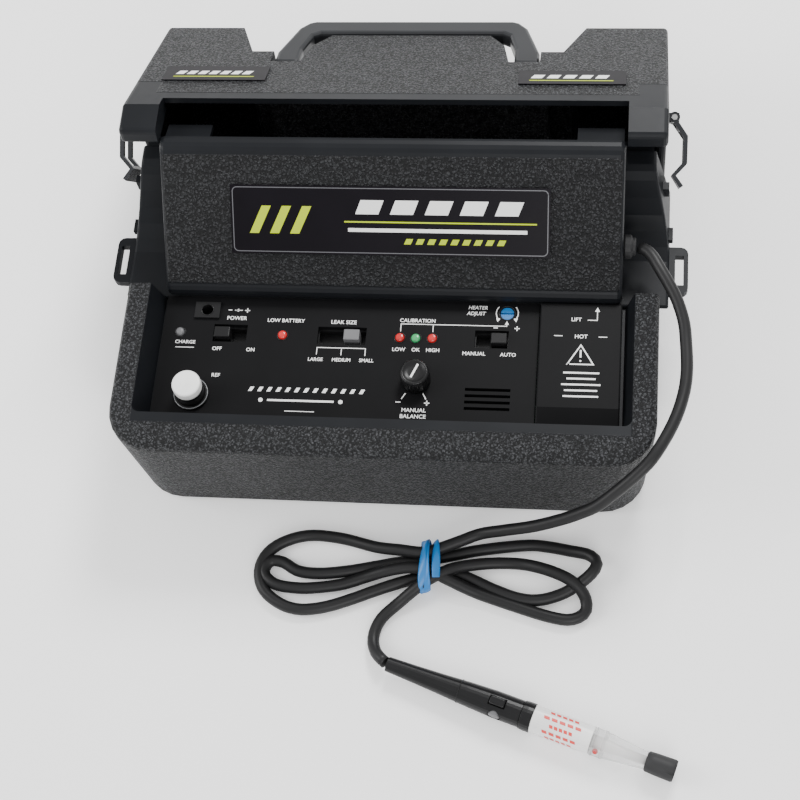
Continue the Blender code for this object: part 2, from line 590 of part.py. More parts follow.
# Slide switches: a body under the panel and a slider in the opening
slider_x = {"power": POWER_X - 4.2, "leak_size": LEAK_X + 5.5, "mode": MODE_X + 4.0}
for name, (x, width) in openings.items():
    body = add(f"{name}_switch_body", box_mesh(f"{name}_switch_body", (x - width / 2 - 2.5, x + width / 2 + 2.5),
               (SWITCH_Y - 8, SWITCH_Y + 8), (PANEL_BOTTOM_Z - 9, PANEL_BOTTOM_Z - FIT)), BLACK)
    well = box_mesh(f"cut_{name}_switch_well", (x - width / 2 + 0.6, x + width / 2 - 0.6),
                    (SWITCH_Y - 4.2, SWITCH_Y + 4.2), (PANEL_BOTTOM_Z - 5, PANEL_BOTTOM_Z + 2))
    cut(body, well)
    centre = slider_x[name]
    slider = add(f"{name}_slider", box_mesh(f"{name}_slider",
                 (centre - SLIDER_SIZE[0] / 2, centre + SLIDER_SIZE[0] / 2),
                 (SWITCH_Y - SLIDER_SIZE[1] / 2, SWITCH_Y + SLIDER_SIZE[1] / 2),
                 (PANEL_BOTTOM_Z - 5 + FIT, PANEL_TOP_Z + 2.2)), BLACK if name != "leak_size" else GREY)
    bevel(slider, 0.5, 2)

# Lamps: round-ended lenses that stand through the panel
lamp_materials = {"charge_led": GREY, "low_battery_led": RED, "calibration_led_low": RED,
                  "calibration_led_ok": GREEN, "calibration_led_high": RED}
for name, (x, y) in LEDS.items():
    lamp = add(name, rod_mesh(name, (x, y, PANEL_TOP_Z - 2.0), LED_RADIUS, 8.0, "z", 20), lamp_materials[name])
    bevel(lamp, 1.5, 3, 50)

# Balance knob on its potentiometer
knob = add("balance_knob", rod_mesh("balance_knob", (*KNOB_AT, PANEL_TOP_Z + FIT + KNOB_HEIGHT / 2),
                                    KNOB_RADIUS + 0.6, KNOB_HEIGHT, "z", 40, KNOB_RADIUS - 0.4), BLACK)
bevel(knob, 0.8, 2, 50)
cut(knob, rod_mesh("cut_knob_bore", (*KNOB_AT, PANEL_TOP_Z + 2), 3.0 + FIT, 10, "z", 20))
potentiometer = add("balance_potentiometer", rod_mesh("balance_potentiometer",
                    (*KNOB_AT, (PANEL_BOTTOM_Z + BOARD_TOP_Z) / 2), 8.0,
                    PANEL_BOTTOM_Z - BOARD_TOP_Z - 2 * FIT, "z", 28), GREY)
join(potentiometer, rod_mesh("join_pot_shaft", (*KNOB_AT, PANEL_TOP_Z), 3.0, 12, "z", 20))

# Heater trimmer with its screwdriver slot, turning in a body under the panel
trimmer = add("heater_trimmer", rod_mesh("heater_trimmer", (*TRIMMER_AT, PANEL_TOP_Z - 2.2),
                                         TRIMMER_RADIUS, 3.4, "z", 28), BLUE)
cut(trimmer, box_mesh("cut_trimmer_slot", (TRIMMER_AT[0] - 5, TRIMMER_AT[0] + 5),
                      (TRIMMER_AT[1] - 0.45, TRIMMER_AT[1] + 0.45), (PANEL_TOP_Z - 1.6, PANEL_TOP_Z + 1)))
trimmer_body = add("trimmer_body", box_mesh("trimmer_body", (TRIMMER_AT[0] - 5, TRIMMER_AT[0] + 5),
                   (TRIMMER_AT[1] - 8, TRIMMER_AT[1] + 4), (PANEL_BOTTOM_Z - 8, PANEL_BOTTOM_Z - 1.3)), BLUE)

# Reference vial: a white cap on a black bottle in a bright collar
collar = add("vial_collar", rod_mesh("vial_collar", (*VIAL_AT, PANEL_TOP_Z + 1.0), 9.6, 1.4, "z", 36), BLACK)
cut(collar, rod_mesh("cut_collar", (*VIAL_AT, PANEL_TOP_Z), VIAL_RADIUS + FIT, 10, "z", 32))
vial = add("reference_vial", rod_mesh("reference_vial", (*VIAL_AT, PANEL_TOP_Z - 12.0),
                                      VIAL_RADIUS, 40, "z", 32), BLACK)
bevel(vial, 1.0, 2, 50)
cap = add("reference_vial_cap", rod_mesh("reference_vial_cap", (*VIAL_AT, PANEL_TOP_Z + 11.4),
                                         VIAL_RADIUS + 0.2, 6.2, "z", 36), WHITE)
bevel(cap, 1.2, 3, 50)

# Charger jack
jack = add("charger_jack", box_mesh("charger_jack", (JACK_AT[0] - JACK_PLATE[0] / 2, JACK_AT[0] + JACK_PLATE[0] / 2),
           (JACK_AT[1] - JACK_PLATE[1] / 2, JACK_AT[1] + JACK_PLATE[1] / 2),
           (PANEL_TOP_Z + FIT, PANEL_TOP_Z + 1.4)), BLACK)
join(jack, box_mesh("join_jack", (JACK_AT[0] - 5.2, JACK_AT[0] + 5.2), (JACK_AT[1] - 3.9, JACK_AT[1] + 3.9),
                    (PANEL_BOTTOM_Z - 8, PANEL_TOP_Z + 1)))
cut(jack, rod_mesh("cut_jack", (*JACK_AT, PANEL_TOP_Z), 3.2, 14, "z", 24))

# Sensor bay cover, raised, with a sloped front end, and the cell under it
cover_x = (SENSOR_LEFT_X, PANEL_HALF)
sensor_back_y = COVER_FRONT[0] - SLIDE
sensor_profile = [(PANEL_FRONT_Y, PANEL_BOTTOM_Z), (sensor_back_y, PANEL_BOTTOM_Z), (sensor_back_y, PANEL_TOP_Z + 4),
                  (PANEL_FRONT_Y + 13, PANEL_TOP_Z + 4), (PANEL_FRONT_Y, PANEL_TOP_Z)]
sensor_cover = add("sensor_cover", side_mesh("sensor_cover", sensor_profile, cover_x), PANEL)
bevel(sensor_cover, 0.8, 2, 30)
cut(sensor_cover, box_mesh("cut_sensor_cover", (cover_x[0] + 3, cover_x[1] - 3),
                           (PANEL_FRONT_Y + 15, sensor_back_y - 3), (PANEL_BOTTOM_Z - 2, PANEL_TOP_Z + 1)))
cell = add("sensor_cell", rod_mesh("sensor_cell", (102, 62, (BOARD_TOP_Z + PANEL_TOP_Z + 1) / 2), 11,
                                   PANEL_TOP_Z + 1 - BOARD_TOP_Z - 2 * FIT, "z", 32), STEEL)
bevel(cell, 1.0, 2, 50)

# Inside the tub
board = add("circuit_board", box_mesh("circuit_board", (-93, 116), (32, 90), (BOARD_TOP_Z - 1.6, BOARD_TOP_Z)), BOARD)
battery = add("battery", box_mesh("battery", (-100, 10), (105, 155), (TUB_WALL + FIT, 36)), GREY)
bevel(battery, 2.0, 2)
pump = add("air_pump", rod_mesh("air_pump", (70, 128, TUB_WALL + 15 + FIT), 15, 62, "x", 32), STEEL)
bevel(pump, 1.2, 2, 50)
speaker = add("loudspeaker", rod_mesh("loudspeaker", (*SPEAKER_AT, PANEL_BOTTOM_Z - 4.0), 14, 7, "z", 36), BLACK)
cut(speaker, rod_mesh("cut_speaker_cone", (*SPEAKER_AT, PANEL_BOTTOM_Z), 11.5, 6, "z", 32, 12.4))

# Cable gland in the cover's right wall
gland = add("cable_gland", rod_mesh("cable_gland", (GLAND_AT[0] + 0.6, GLAND_AT[1], GLAND_AT[2]),
                                    5.0, 12, "x", 20), RUBBER)
join(gland, rod_mesh("join_gland_collar", (GLAND_AT[0] + 2.4, GLAND_AT[1], GLAND_AT[2]), 6.6, 4.0, "x", 20))
bevel(gland, 0.6, 1, 50)


def smooth_path(points, spacing):
    """Even points along a smooth curve through the given ones."""
    ends = [points[0] * 2 - points[1]] + list(points) + [points[-1] * 2 - points[-2]]
    fine = []
    for a, b, c, d in zip(ends, ends[1:], ends[2:], ends[3:]):
        for step in range(24):
            t = step / 24
            fine.append(0.5 * ((2 * b) + (c - a) * t + (2 * a - 5 * b + 4 * c - d) * t * t
                               + (3 * b - a - 3 * c + d) * t ** 3))
    fine.append(points[-1])
    length = sum((b - a).length for a, b in zip(fine, fine[1:]))
    count = max(2, round(length / spacing))
    even = [fine[0]]
    walked = 0.0
    wanted = length / count
    for a, b in zip(fine, fine[1:]):
        gap = (b - a).length
        while walked + gap >= wanted * len(even) and len(even) < count:
            even.append(a.lerp(b, (wanted * len(even) - walked) / gap))
        walked += gap
    return even + [fine[-1]]


def tube(name, points, material):
    curve = bpy.data.curves.new(name, "CURVE")
    curve.dimensions = "3D"
    curve.bevel_depth = CABLE_RADIUS * MM
    curve.bevel_resolution = 2
    curve.use_fill_caps = True
    path = smooth_path([place(*point) for point in points], 11 * MM)
    spline = curve.splines.new("POLY")
    spline.points.add(len(path) - 1)
    for point, where in zip(spline.points, path):
        point.co = (*where, 1.0)
    item = bpy.data.objects.new(name, curve)
    PARTS.objects.link(item)
    curve.materials.append(material)
    return item


lead_route = [(133.0, 123.4, 78.3), (135.6, 121.6, 79.2), (139.0, 117.8, 80.2), (143.4, 109.6, 80.6), (148.7, 100.2, 79.5),
              (152.9, 91.5, 78.0), (156.2, 81.0, 76.0), (157.4, 71.5, 74.5), (158.2, 55.2, 73.0),
              (156.7, 41.2, 72.0), (151.7, 24.8, 71.5), (142.7, 7.6, 70.0), (134.8, -0.8, 66.0),
              (124.8, -7.8, 59.0), (114.6, -13.4, 51.0), (105.2, -15.4, 44.0), (95.8, -16.4, 37.0),
              (81.2, -16.9, 27.0), (64.4, -16.4, 17.5), (52.2, -16.6, 11.5)]
tube("probe_cable_lead", lead_route, RUBBER)
hank_points = [(-71, -37), (-67, -27), (-45, -16), (-10, -14), (20, -12.5), (50.3, -12.5), (50.3, -22.5),
               (62, -24), (90, -20), (113, -20), (120, -27), (118, -38), (109, -52), (92, -60.5),
               (60, -59), (34, -49.5), (8, -49.5), (-16, -55), (-42, -63), (-58, -60), (-69, -50)]
hank = add("probe_cable_hank", plan_mesh("probe_cable_hank", hank_points, (0.05, HANK_HEIGHT)), RUBBER)
tail_route = [(14.5, -52.6, 4.8), (10.0, -57.0, 4.0), (3.2, -63.4, CABLE_Z), (-1.2, -70.2, CABLE_Z),
              (-1.8, -77.0, 3.8), (-0.4, -83.0, 5.6), (2.4, -87.2, 7.4), (5.8, -89.2, 8.3)]
tube("probe_cable_tail", tail_route, RUBBER)
tie = add("cable_tie", box_mesh("cable_tie", (17, 32), (-48, -14), (HANK_HEIGHT + FIT, HANK_HEIGHT + 3)), BLUE)
bevel(tie, 1.0, 2)

# Probe: a tapered grip, window, sleeves, clear cone and rubber tip, built along +X
probe_vector = Vector((PROBE_FRONT[0] - PROBE_REAR[0], PROBE_FRONT[1] - PROBE_REAR[1]))
PROBE_LENGTH = probe_vector.length
probe_axis = bpy.data.objects.new("probe_axis", None)
PARTS.objects.link(probe_axis)
probe_axis.location = place(*PROBE_REAR, PROBE_Z)
probe_axis.rotation_euler = (0, 0, math.atan2(probe_vector.y, probe_vector.x))


def probe_piece(name, start, end, radii, material, bore=None):
    """Turned piece along the probe's axis; radii run from start to end."""
    shape = bmesh.new()
    count = len(radii)
    profile = [(radius, start + (end - start) * index / (count - 1))
               for index, radius in enumerate(radii)]
    inner = bore if bore else 0.0
    loop = [(inner, start)] + profile + [(inner, end)]
    vertices = [shape.verts.new((0, r * MM, a * MM)) for r, a in loop]
    edges = [shape.edges.new(pair) for pair in zip(vertices, vertices[1:])]
    if bore:
        edges.append(shape.edges.new((vertices[-1], vertices[0])))
    bmesh.ops.spin(shape, geom=vertices + edges, cent=(0, 0, 0), axis=(0, 0, 1),
                   angle=math.tau, steps=28, use_merge=True)
    bmesh.ops.remove_doubles(shape, verts=shape.verts, dist=1e-6)
    bmesh.ops.transform(shape, matrix=Matrix.Rotation(math.pi / 2, 4, "Y"), verts=shape.verts)
    item = add(name, finish_mesh(name, shape, 30), material)
    item.parent = probe_axis
    return item


def probe_local(mesh):
    """Move a mesh built in case millimetres into the probe's own axes."""
    mesh.transform(Matrix.Translation(-place(0, 0, 0)))
    return mesh


GRIP_END = 75.0
BUTTON_ALONG = GRIP_END - 13.0
probe_grip = probe_piece("probe_handle", 0, GRIP_END, [4.0, 4.6, 5.4, 6.4, 7.1, 7.1], BLACK)
button_hole = probe_local(box_mesh("cut_button", (BUTTON_ALONG - 4.6, BUTTON_ALONG + 4.6), (-2.6, 2.6), (3.2, 12)))
window_hole = probe_local(rod_mesh("cut_window", (BUTTON_ALONG, -6.4, 1.8), 3.6, 6, "y", 20))
for mesh in (button_hole, window_hole):
    cutter = add(mesh.name, mesh, None, True)
    cutter.parent = probe_axis
    combine(probe_grip, [cutter], "DIFFERENCE")
button = add("probe_button", probe_local(box_mesh("probe_button", (BUTTON_ALONG - 4.1, BUTTON_ALONG + 4.1),
             (-2.1, 2.1), (4.7, 8.4))), BLACK)
bevel(button, 0.7, 2)
button.parent = probe_axis
window = add("probe_window", probe_local(rod_mesh("probe_window", (BUTTON_ALONG, -5.2, 1.8),
             3.2, 3.2, "y", 20)), GREY)
bevel(window, 0.5, 2, 50)
window.parent = probe_axis
probe_piece("probe_sleeve", GRIP_END + FIT, 81.0, [7.5, 7.7, 7.7], BLACK)
probe_piece("probe_label_sleeve", 81.0 + FIT, 113.0, [7.3, 7.3], WHITE, 4.6)
probe_piece("probe_cone", 113.0 + FIT, 142.0, [7.1, 6.4, 5.4, 4.6], CLEAR, 3.6)
probe_piece("probe_led", 104.0, 118.0, [4.3, 4.3, 3.3, 3.3], RED)
probe_piece("probe_tip", 142.0 + FIT, PROBE_LENGTH, [5.2, 5.6, 5.4], RUBBER, 1.2)
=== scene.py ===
import math

import bmesh
import bpy
import numpy as np
from mathutils import Matrix, Vector


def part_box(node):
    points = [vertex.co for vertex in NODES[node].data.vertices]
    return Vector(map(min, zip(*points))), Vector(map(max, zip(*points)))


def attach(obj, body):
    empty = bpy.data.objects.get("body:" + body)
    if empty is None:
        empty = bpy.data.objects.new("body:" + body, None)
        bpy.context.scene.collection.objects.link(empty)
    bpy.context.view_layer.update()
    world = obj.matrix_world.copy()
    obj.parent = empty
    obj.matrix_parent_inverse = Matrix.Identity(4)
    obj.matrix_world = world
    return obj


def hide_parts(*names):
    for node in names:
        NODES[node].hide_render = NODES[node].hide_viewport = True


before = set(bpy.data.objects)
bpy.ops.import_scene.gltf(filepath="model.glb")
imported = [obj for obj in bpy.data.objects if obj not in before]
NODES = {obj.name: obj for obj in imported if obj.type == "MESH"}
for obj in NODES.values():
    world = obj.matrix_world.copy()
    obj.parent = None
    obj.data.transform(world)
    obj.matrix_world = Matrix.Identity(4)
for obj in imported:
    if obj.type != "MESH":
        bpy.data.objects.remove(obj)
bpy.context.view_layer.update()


# Case millimetres: x to the right, y from the front rim's edge, z up from the table
MM = 0.001
MID_Y = 124.0
LID_OPEN = math.radians(8.0)
HINGE = (176.0, 6.0)


def at(x, y, z):
    """A point in case millimetres, as metres in the shared frame."""
    return Vector((x * MM, (y - MID_Y) * MM, z * MM))


def case_points(points):
    """An array of points in case millimetres, as metres in the shared frame."""
    points = np.asarray(points, float)
    return (points - (0.0, MID_Y, 0.0)) * MM


# Camera, at the photograph's viewing angle
camera_data = bpy.data.cameras.new("camera")
camera_data.lens = 76.5
camera_data.sensor_width = 36.0
camera = bpy.data.objects.new("camera", camera_data)
bpy.context.scene.collection.objects.link(camera)
view_right = Vector((0.9914, 0.0803, -0.1035)).normalized()
view_back = Vector((0.1277, -0.4177, 0.8996)).normalized()
view_up = view_back.cross(view_right).normalized()
view_right = view_up.cross(view_back).normalized()
camera.matrix_world = Matrix((
    (view_right.x, view_up.x, view_back.x, 0.1240),
    (view_right.y, view_up.y, view_back.y, -0.4603),
    (view_right.z, view_up.z, view_back.z, 0.8679),
    (0.0, 0.0, 0.0, 1.0)))
bpy.context.scene.camera = camera


def grid_mesh(name, places, around=False, closed=False, caps=False):
    """A smooth mesh of rows by columns of places in metres.

    around joins the last column to the first, closed joins the last row to the first, and caps fills both ends.
    """
    rows, columns = places.shape[:2]
    down = np.arange(rows if closed else rows - 1)[:, None]
    along = np.arange(columns if around else columns - 1)[None, :]
    below = (down + 1) % rows
    beside = (along + 1) % columns
    faces = np.stack((down * columns + along, down * columns + beside, below * columns + beside,
                      below * columns + along), -1).reshape(-1, 4).tolist()
    sides = len(faces)
    if caps:
        last = (rows - 1) * columns
        faces += [list(range(columns))[::-1], list(range(last, last + columns))]
    mesh = bpy.data.meshes.new(name)
    mesh.from_pydata(places.reshape(-1, 3).tolist(), [], faces)
    mesh.polygons.foreach_set("use_smooth", np.arange(len(faces)) < sides)
    shape = bmesh.new()
    shape.from_mesh(mesh)
    bmesh.ops.recalc_face_normals(shape, faces=shape.faces)
    shape.to_mesh(mesh)
    shape.free()
    return mesh


def placed(mesh, body, finish=None, replaces=()):
    """An object for a finished mesh, riding on its body and standing for the CAD nodes that it replaces."""
    item = bpy.data.objects.new(mesh.name, mesh)
    bpy.context.scene.collection.objects.link(item)
    if finish:
        mesh.materials.append(finish.material)
    if replaces:
        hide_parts(*replaces)
    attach(item, body)
    return item


def smooth_path(points, spacing):
    """A Catmull-Rom curve through the points, read off at an even spacing."""
    points = np.asarray(points, float)
    ends = np.vstack((2 * points[0] - points[1], points, 2 * points[-1] - points[-2]))
    share = np.linspace(0, 1, 24, endpoint=False)[:, None]
    rows = []
    for a, b, c, d in zip(ends, ends[1:], ends[2:], ends[3:]):
        rows.append(0.5 * (2 * b + (c - a) * share + (2 * a - 5 * b + 4 * c - d) * share ** 2
                           + (3 * b - a - 3 * c + d) * share ** 3))
    line = np.vstack((*rows, points[-1:]))
    run = np.concatenate(([0.0], np.cumsum(np.linalg.norm(np.diff(line, axis=0), axis=1))))
    stops = np.linspace(0, run[-1], max(3, int(run[-1] / spacing) + 1))
    return np.column_stack([np.interp(stops, run, line[:, k]) for k in range(3)]), run[-1]


def tube_rings(points, radius, sides=20):
    """Rings of a round cord along points in millimetres.

    Each ring stands square to the path. Its upright is the last ring's, made square again, so that the tube
    doesn't twist.
    """
    ahead = np.gradient(points, axis=0)
    ahead /= np.linalg.norm(ahead, axis=1)[:, None]
    upright = np.cross(ahead[0], (1.0, 0.0, 0.0))
    uprights = []
    for step in ahead:
        upright = upright - step * upright.dot(step)
        upright /= np.linalg.norm(upright)
        uprights.append(upright)
    uprights = np.array(uprights)
    across = np.cross(ahead, uprights)
    angles = np.linspace(0, 2 * math.pi, sides, endpoint=False)[None, :, None]
    return points[:, None, :] + radius * (np.cos(angles) * uprights[:, None, :]
                                          - np.sin(angles) * across[:, None, :])


# Probe cable: from the gland down the case's side, round its hank and back to the probe's handle
CABLE_RADIUS = 3.25
CABLE_ROUTE = (
    (133.0, 123.4, 78.3), (135.6, 121.6, 79.2), (139.0, 117.8, 80.2), (143.4, 109.6, 80.6), (148.7, 100.2, 79.5),
    (152.9, 91.5, 78.0), (156.2, 81.0, 76.0), (157.4, 71.5, 74.5), (158.2, 55.2, 73.0), (156.7, 41.2, 72.0),
    (151.7, 24.8, 71.5), (142.7, 7.6, 70.0), (134.8, -0.8, 66.0), (124.8, -7.8, 59.0), (114.6, -13.4, 51.0),
    (105.2, -15.4, 44.0), (95.8, -16.4, 37.0), (81.2, -16.9, 27.0), (64.4, -16.4, 17.5), (52.2, -16.9, 12.3),
    (40.5, -21.4, 10.8), (27.9, -26.6, 10.6), (20.9, -28.1, 10.6), (9.3, -26.8, 9.6), (-4.2, -24.9, 7.4),
    (-23.7, -19.6, 4.2), (-41.7, -18.3, 3.4), (-55.8, -22.7, 3.4), (-64.4, -30.0, 3.4), (-67.4, -40.0, 3.4),
    (-63.7, -50.7, 3.4), (-53.5, -58.2, 3.4), (-42.3, -60.7, 3.4), (-29.4, -58.7, 3.4), (-16.7, -54.2, 3.4),
    (-2.6, -48.2, 3.4), (11.6, -42.7, 3.4), (22.7, -39.4, 3.4), (32.8, -36.7, 3.4), (44.8, -38.4, 3.4),
    (61.0, -45.0, 3.4), (74.3, -49.2, 3.4), (85.5, -49.5, 3.4), (97.0, -45.7, 3.6), (105.8, -40.7, 6.5),
    (112.5, -35.3, 9.5), (114.9, -29.6, 9.5), (110.5, -24.7, 8.0), (100.3, -21.8, 5.0), (88.4, -19.5, 3.6),
    (76.6, -19.1, 3.4), (53.0, -22.7, 3.4), (35.9, -26.9, 3.4), (22.6, -29.7, 3.4), (9.1, -31.7, 3.4),
    (-3.8, -34.6, 3.4), (-18.3, -37.8, 3.4), (-34.0, -39.9, 3.4), (-46.2, -39.0, 3.4), (-54.8, -34.4, 3.4),
    (-62.3, -34.3, 3.4), (-64.6, -41.3, 3.4), (-58.3, -46.9, 3.4), (-48.2, -48.6, 3.4), (-37.0, -48.3, 3.4),
    (-21.4, -45.6, 3.4), (-8.4, -41.4, 5.0), (3.7, -38.4, 8.5), (15.6, -36.7, 10.2), (25.4, -37.7, 10.2),
    (35.2, -41.6, 8.8), (44.4, -45.1, 6.5), (54.6, -48.3, 4.0), (74.6, -54.2, 3.4), (90.1, -58.4, 3.4),
    (101.7, -59.7, 3.4), (109.4, -55.6, 3.6), (109.7, -48.6, 5.0), (105.3, -42.6, 8.0), (98.4, -38.3, 9.8),
    (86.5, -33.7, 8.6), (73.4, -30.5, 5.5), (57.5, -31.0, 5.5), (42.4, -34.4, 8.0), (33.9, -38.4, 10.2),
    (25.3, -43.7, 10.4), (18.0, -49.1, 8.0), (10.0, -55.2, 4.0), (2.4, -62.8, 3.3), (-0.9, -69.6, 3.3),
    (-1.6, -76.3, 3.7), (0.4, -82.6, 5.6), (3.6, -86.6, 7.6), (6.6, -89.2, 8.4))

CABLE_STEP = 3.0
cable_path, cable_length = smooth_path(CABLE_ROUTE, CABLE_STEP)
cable_rings = case_points(tube_rings(cable_path, CABLE_RADIUS))
cable = placed(grid_mesh("probe_cable", cable_rings, around=True, caps=True), "case", None,
               ("probe_cable_lead", "probe_cable_hank", "probe_cable_tail"))


SMOOTH_BLACK = (0.0080, 0.0088, 0.0105)
GRAIN_BLACK = (0.030, 0.031, 0.033)
PLAIN_MIRROR = 0.5
SHELL_MIRROR = 0.15
GRAIN_DEPTH = 0.7
# Where the grain ends, in case millimetres: half the bay's width, its ends, and half the cover's sloped face
BAY_HALF = 130.5
BAY_ENDS = (16.0, 200.0)
FACE_HALF = 122.2


class Value:
    """A shader socket that takes part in sums and products."""

    def __init__(self, shop, socket):
        self.shop = shop
        self.socket = socket

    def maths(self, operation, *others, clamp=False):
        """A math node with this value first."""
        node = self.shop.tree.nodes.new("ShaderNodeMath")
        node.operation = operation
        node.use_clamp = clamp
        for slot, value in zip(node.inputs, (self, *others)):
            self.shop.feed(slot, value)
        return Value(self.shop, node.outputs[0])

    def reflected(self, operation, other):
        """A math node with this value second."""
        node = self.shop.tree.nodes.new("ShaderNodeMath")
        node.operation = operation
        self.shop.feed(node.inputs[0], other)
        self.shop.feed(node.inputs[1], self)
        return Value(self.shop, node.outputs[0])

    def __add__(self, other):
        return self.maths("ADD", other)

    def __radd__(self, other):
        return self.reflected("ADD", other)

    def __sub__(self, other):
        return self.maths("SUBTRACT", other)

    def __rsub__(self, other):
        return self.reflected("SUBTRACT", other)

    def __mul__(self, other):
        return self.maths("MULTIPLY", other)

    def __abs__(self):
        return self.maths("ABSOLUTE")

    def kept(self):
        """Held between 0 and 1."""
        return self.maths("ADD", 0.0, clamp=True)

    def step(self, start, end):
        """0 before start, 1 after end, smooth between."""
        node = self.shop.tree.nodes.new("ShaderNodeMapRange")
        node.interpolation_type = "SMOOTHSTEP"
        self.shop.feed(node.inputs[0], self)
        node.inputs[1].default_value = start
        node.inputs[2].default_value = end
        return Value(self.shop, node.outputs[0])


class Finish:
    """One material of this object, with its nodes made through short calls."""

    def __init__(self, name, colour, roughness):
        self.material = bpy.data.materials.new(name)
        self.material.use_nodes = True
        self.tree = self.material.node_tree
        self.shader = self.tree.nodes["Principled BSDF"]
        self.set("Base Color", (*colour, 1.0))
        self.set("Roughness", roughness)
        self.place = None

    def set(self, socket, value):
        """Give the shader's named socket a number, a colour or a link."""
        self.feed(self.shader.inputs[socket], value)

    def dull(self, level):
        """How much the surface mirrors: plain plastic has PLAIN_MIRROR, a surface of fine pores less."""
        self.shader.inputs["Specular IOR Level"].default_value = level

    def feed(self, slot, value):
        """Link a value or a socket to slot, or write a number or a colour into it."""
        if isinstance(value, Value):
            self.tree.links.new(value.socket, slot)
        elif isinstance(value, bpy.types.NodeSocket):
            self.tree.links.new(value, slot)
        else:
            slot.default_value = value

    def node(self, kind, settings=None, **values):
        """Any node: its settings first, then the values or links of its sockets."""
        node = self.tree.nodes.new("ShaderNode" + kind)
        for name, setting in (settings or {}).items():
            setattr(node, name, setting)
        for name, value in values.items():
            self.feed(node.inputs[name.replace("_", " ")], value)
        return node

    def here(self, turned_lid=False):
        """Object coordinates in case millimetres; on the lid, those of the closed lid."""
        socket = self.node("TexCoord").outputs["Object"]
        mapping = self.node("Mapping", {"vector_type": "POINT"}, Vector=socket)
        mapping.inputs["Scale"].default_value = (1.0 / MM, 1.0 / MM, 1.0 / MM)
        if turned_lid:
            mapping.inputs["Location"].default_value = (0.0, MID_Y - HINGE[0], -HINGE[1])
            turn = self.node("Mapping", {"vector_type": "POINT"}, Vector=mapping.outputs[0])
            turn.inputs["Rotation"].default_value = (LID_OPEN, 0.0, 0.0)
            turn.inputs["Location"].default_value = (0.0, HINGE[0], HINGE[1])
            mapping = turn
        else:
            mapping.inputs["Location"].default_value = (0.0, MID_Y, 0.0)
        self.place = mapping.outputs[0]

    def axes(self):
        """The place's x, y and z, one by one."""
        split = self.node("SeparateXYZ", None, Vector=self.place)
        return [Value(self, socket) for socket in split.outputs]

    def noise(self, size, detail=2.0, rough=0.5, place=None):
        """Noise whose lumps are about size millimetres."""
        node = self.node("TexNoise", {"noise_dimensions": "3D"}, Vector=place or self.place,
                         Scale=1.0 / size, Detail=detail, Roughness=rough)
        return Value(self, node.outputs[0])

    def cells(self, size, place):
        """Distance from the middles of cells of about size millimetres."""
        node = self.node("TexVoronoi", {"feature": "F1"}, Vector=place, Scale=1.0 / size, Randomness=1.0)
        return Value(self, node.outputs["Distance"])

    def shifted(self, amount, size):
        """The place, pushed about by noise so that patterns don't run straight."""
        noise = self.node("TexNoise", {"noise_dimensions": "3D"}, Vector=self.place,
                          Scale=1.0 / size, Detail=1.0)
        centred = self.node("VectorMath", {"operation": "SUBTRACT"})
        self.feed(centred.inputs[0], noise.outputs[1])
        centred.inputs[1].default_value = (0.5, 0.5, 0.5)
        scaled = self.node("VectorMath", {"operation": "SCALE"}, Scale=amount)
        self.feed(scaled.inputs[0], centred.outputs[0])
        moved = self.node("VectorMath", {"operation": "ADD"})
        self.feed(moved.inputs[0], self.place)
        self.feed(moved.inputs[1], scaled.outputs[0])
        return moved.outputs[0]

    def blend(self, factor, first, second):
        """Colour mix by a value; first and second are colours or sockets."""
        mix = self.node("Mix", {"data_type": "RGBA"})
        self.feed(mix.inputs[0], factor)
        for slot, colour in zip((mix.inputs[6], mix.inputs[7]), (first, second)):
            self.feed(slot, (*colour, 1.0) if isinstance(colour, tuple) else colour)
        return mix.outputs[2]

    def bump(self, height, depth, strength=1.0, normal=None):
        """Height in units of depth millimetres, to a normal."""
        node = self.node("Bump", None, Height=height, Distance=depth * MM, Strength=strength)
        if normal is not None:
            self.feed(node.inputs["Normal"], normal)
        return node.outputs[0]

    def paint(self, *names):
        """Give the finish to CAD nodes."""
        for name in names:
            mesh = NODES[name].data
            mesh.materials.clear()
            mesh.materials.append(self.material)


def inside(value, low, high, edge):
    """1 between low and high, 0 outside, with an edge of the given width."""
    return value.step(low - edge, low) * (1 - value.step(high, high + edge))


def leather_height(finish, size):
    """Leather grain: small uneven islands with rounded tops, and finer noise over them."""
    moved = finish.shifted(size * 1.6, size * 1.1)
    island = 1 - finish.cells(size, moved).step(0.05, 0.80)
    fine = finish.noise(size * 0.7, 3.0, 0.65, moved)
    return island * 0.75 + fine * 0.85


def base_grain(x, y, z):
    """Grain on the rim and the outside, none in the sunk bay."""
    bay = inside(x, -BAY_HALF, BAY_HALF, 1.2) * inside(y, *BAY_ENDS, 1.2) * z.step(40.0, 41.0)
    return (1 - bay).kept()


def cover_grain(x, y, z):
    """Grain on the sloped face, none on its lip, tabs and side edges."""
    return inside(x, -FACE_HALF, FACE_HALF, 0.6) * (1 - y.step(152.0, 152.6)) * z.step(70.5, 71.5)


def lid_grain(x, y, z):
    """Grain on the outside, none on the lip band, the two corner pads and inside."""
    body = y.step(174.0, 175.0)
    corner = 1 - abs(x).step(129.5, 130.5) * (1 - y.step(187.0, 188.0))
    return body * corner * z.step(20.0, 22.0)


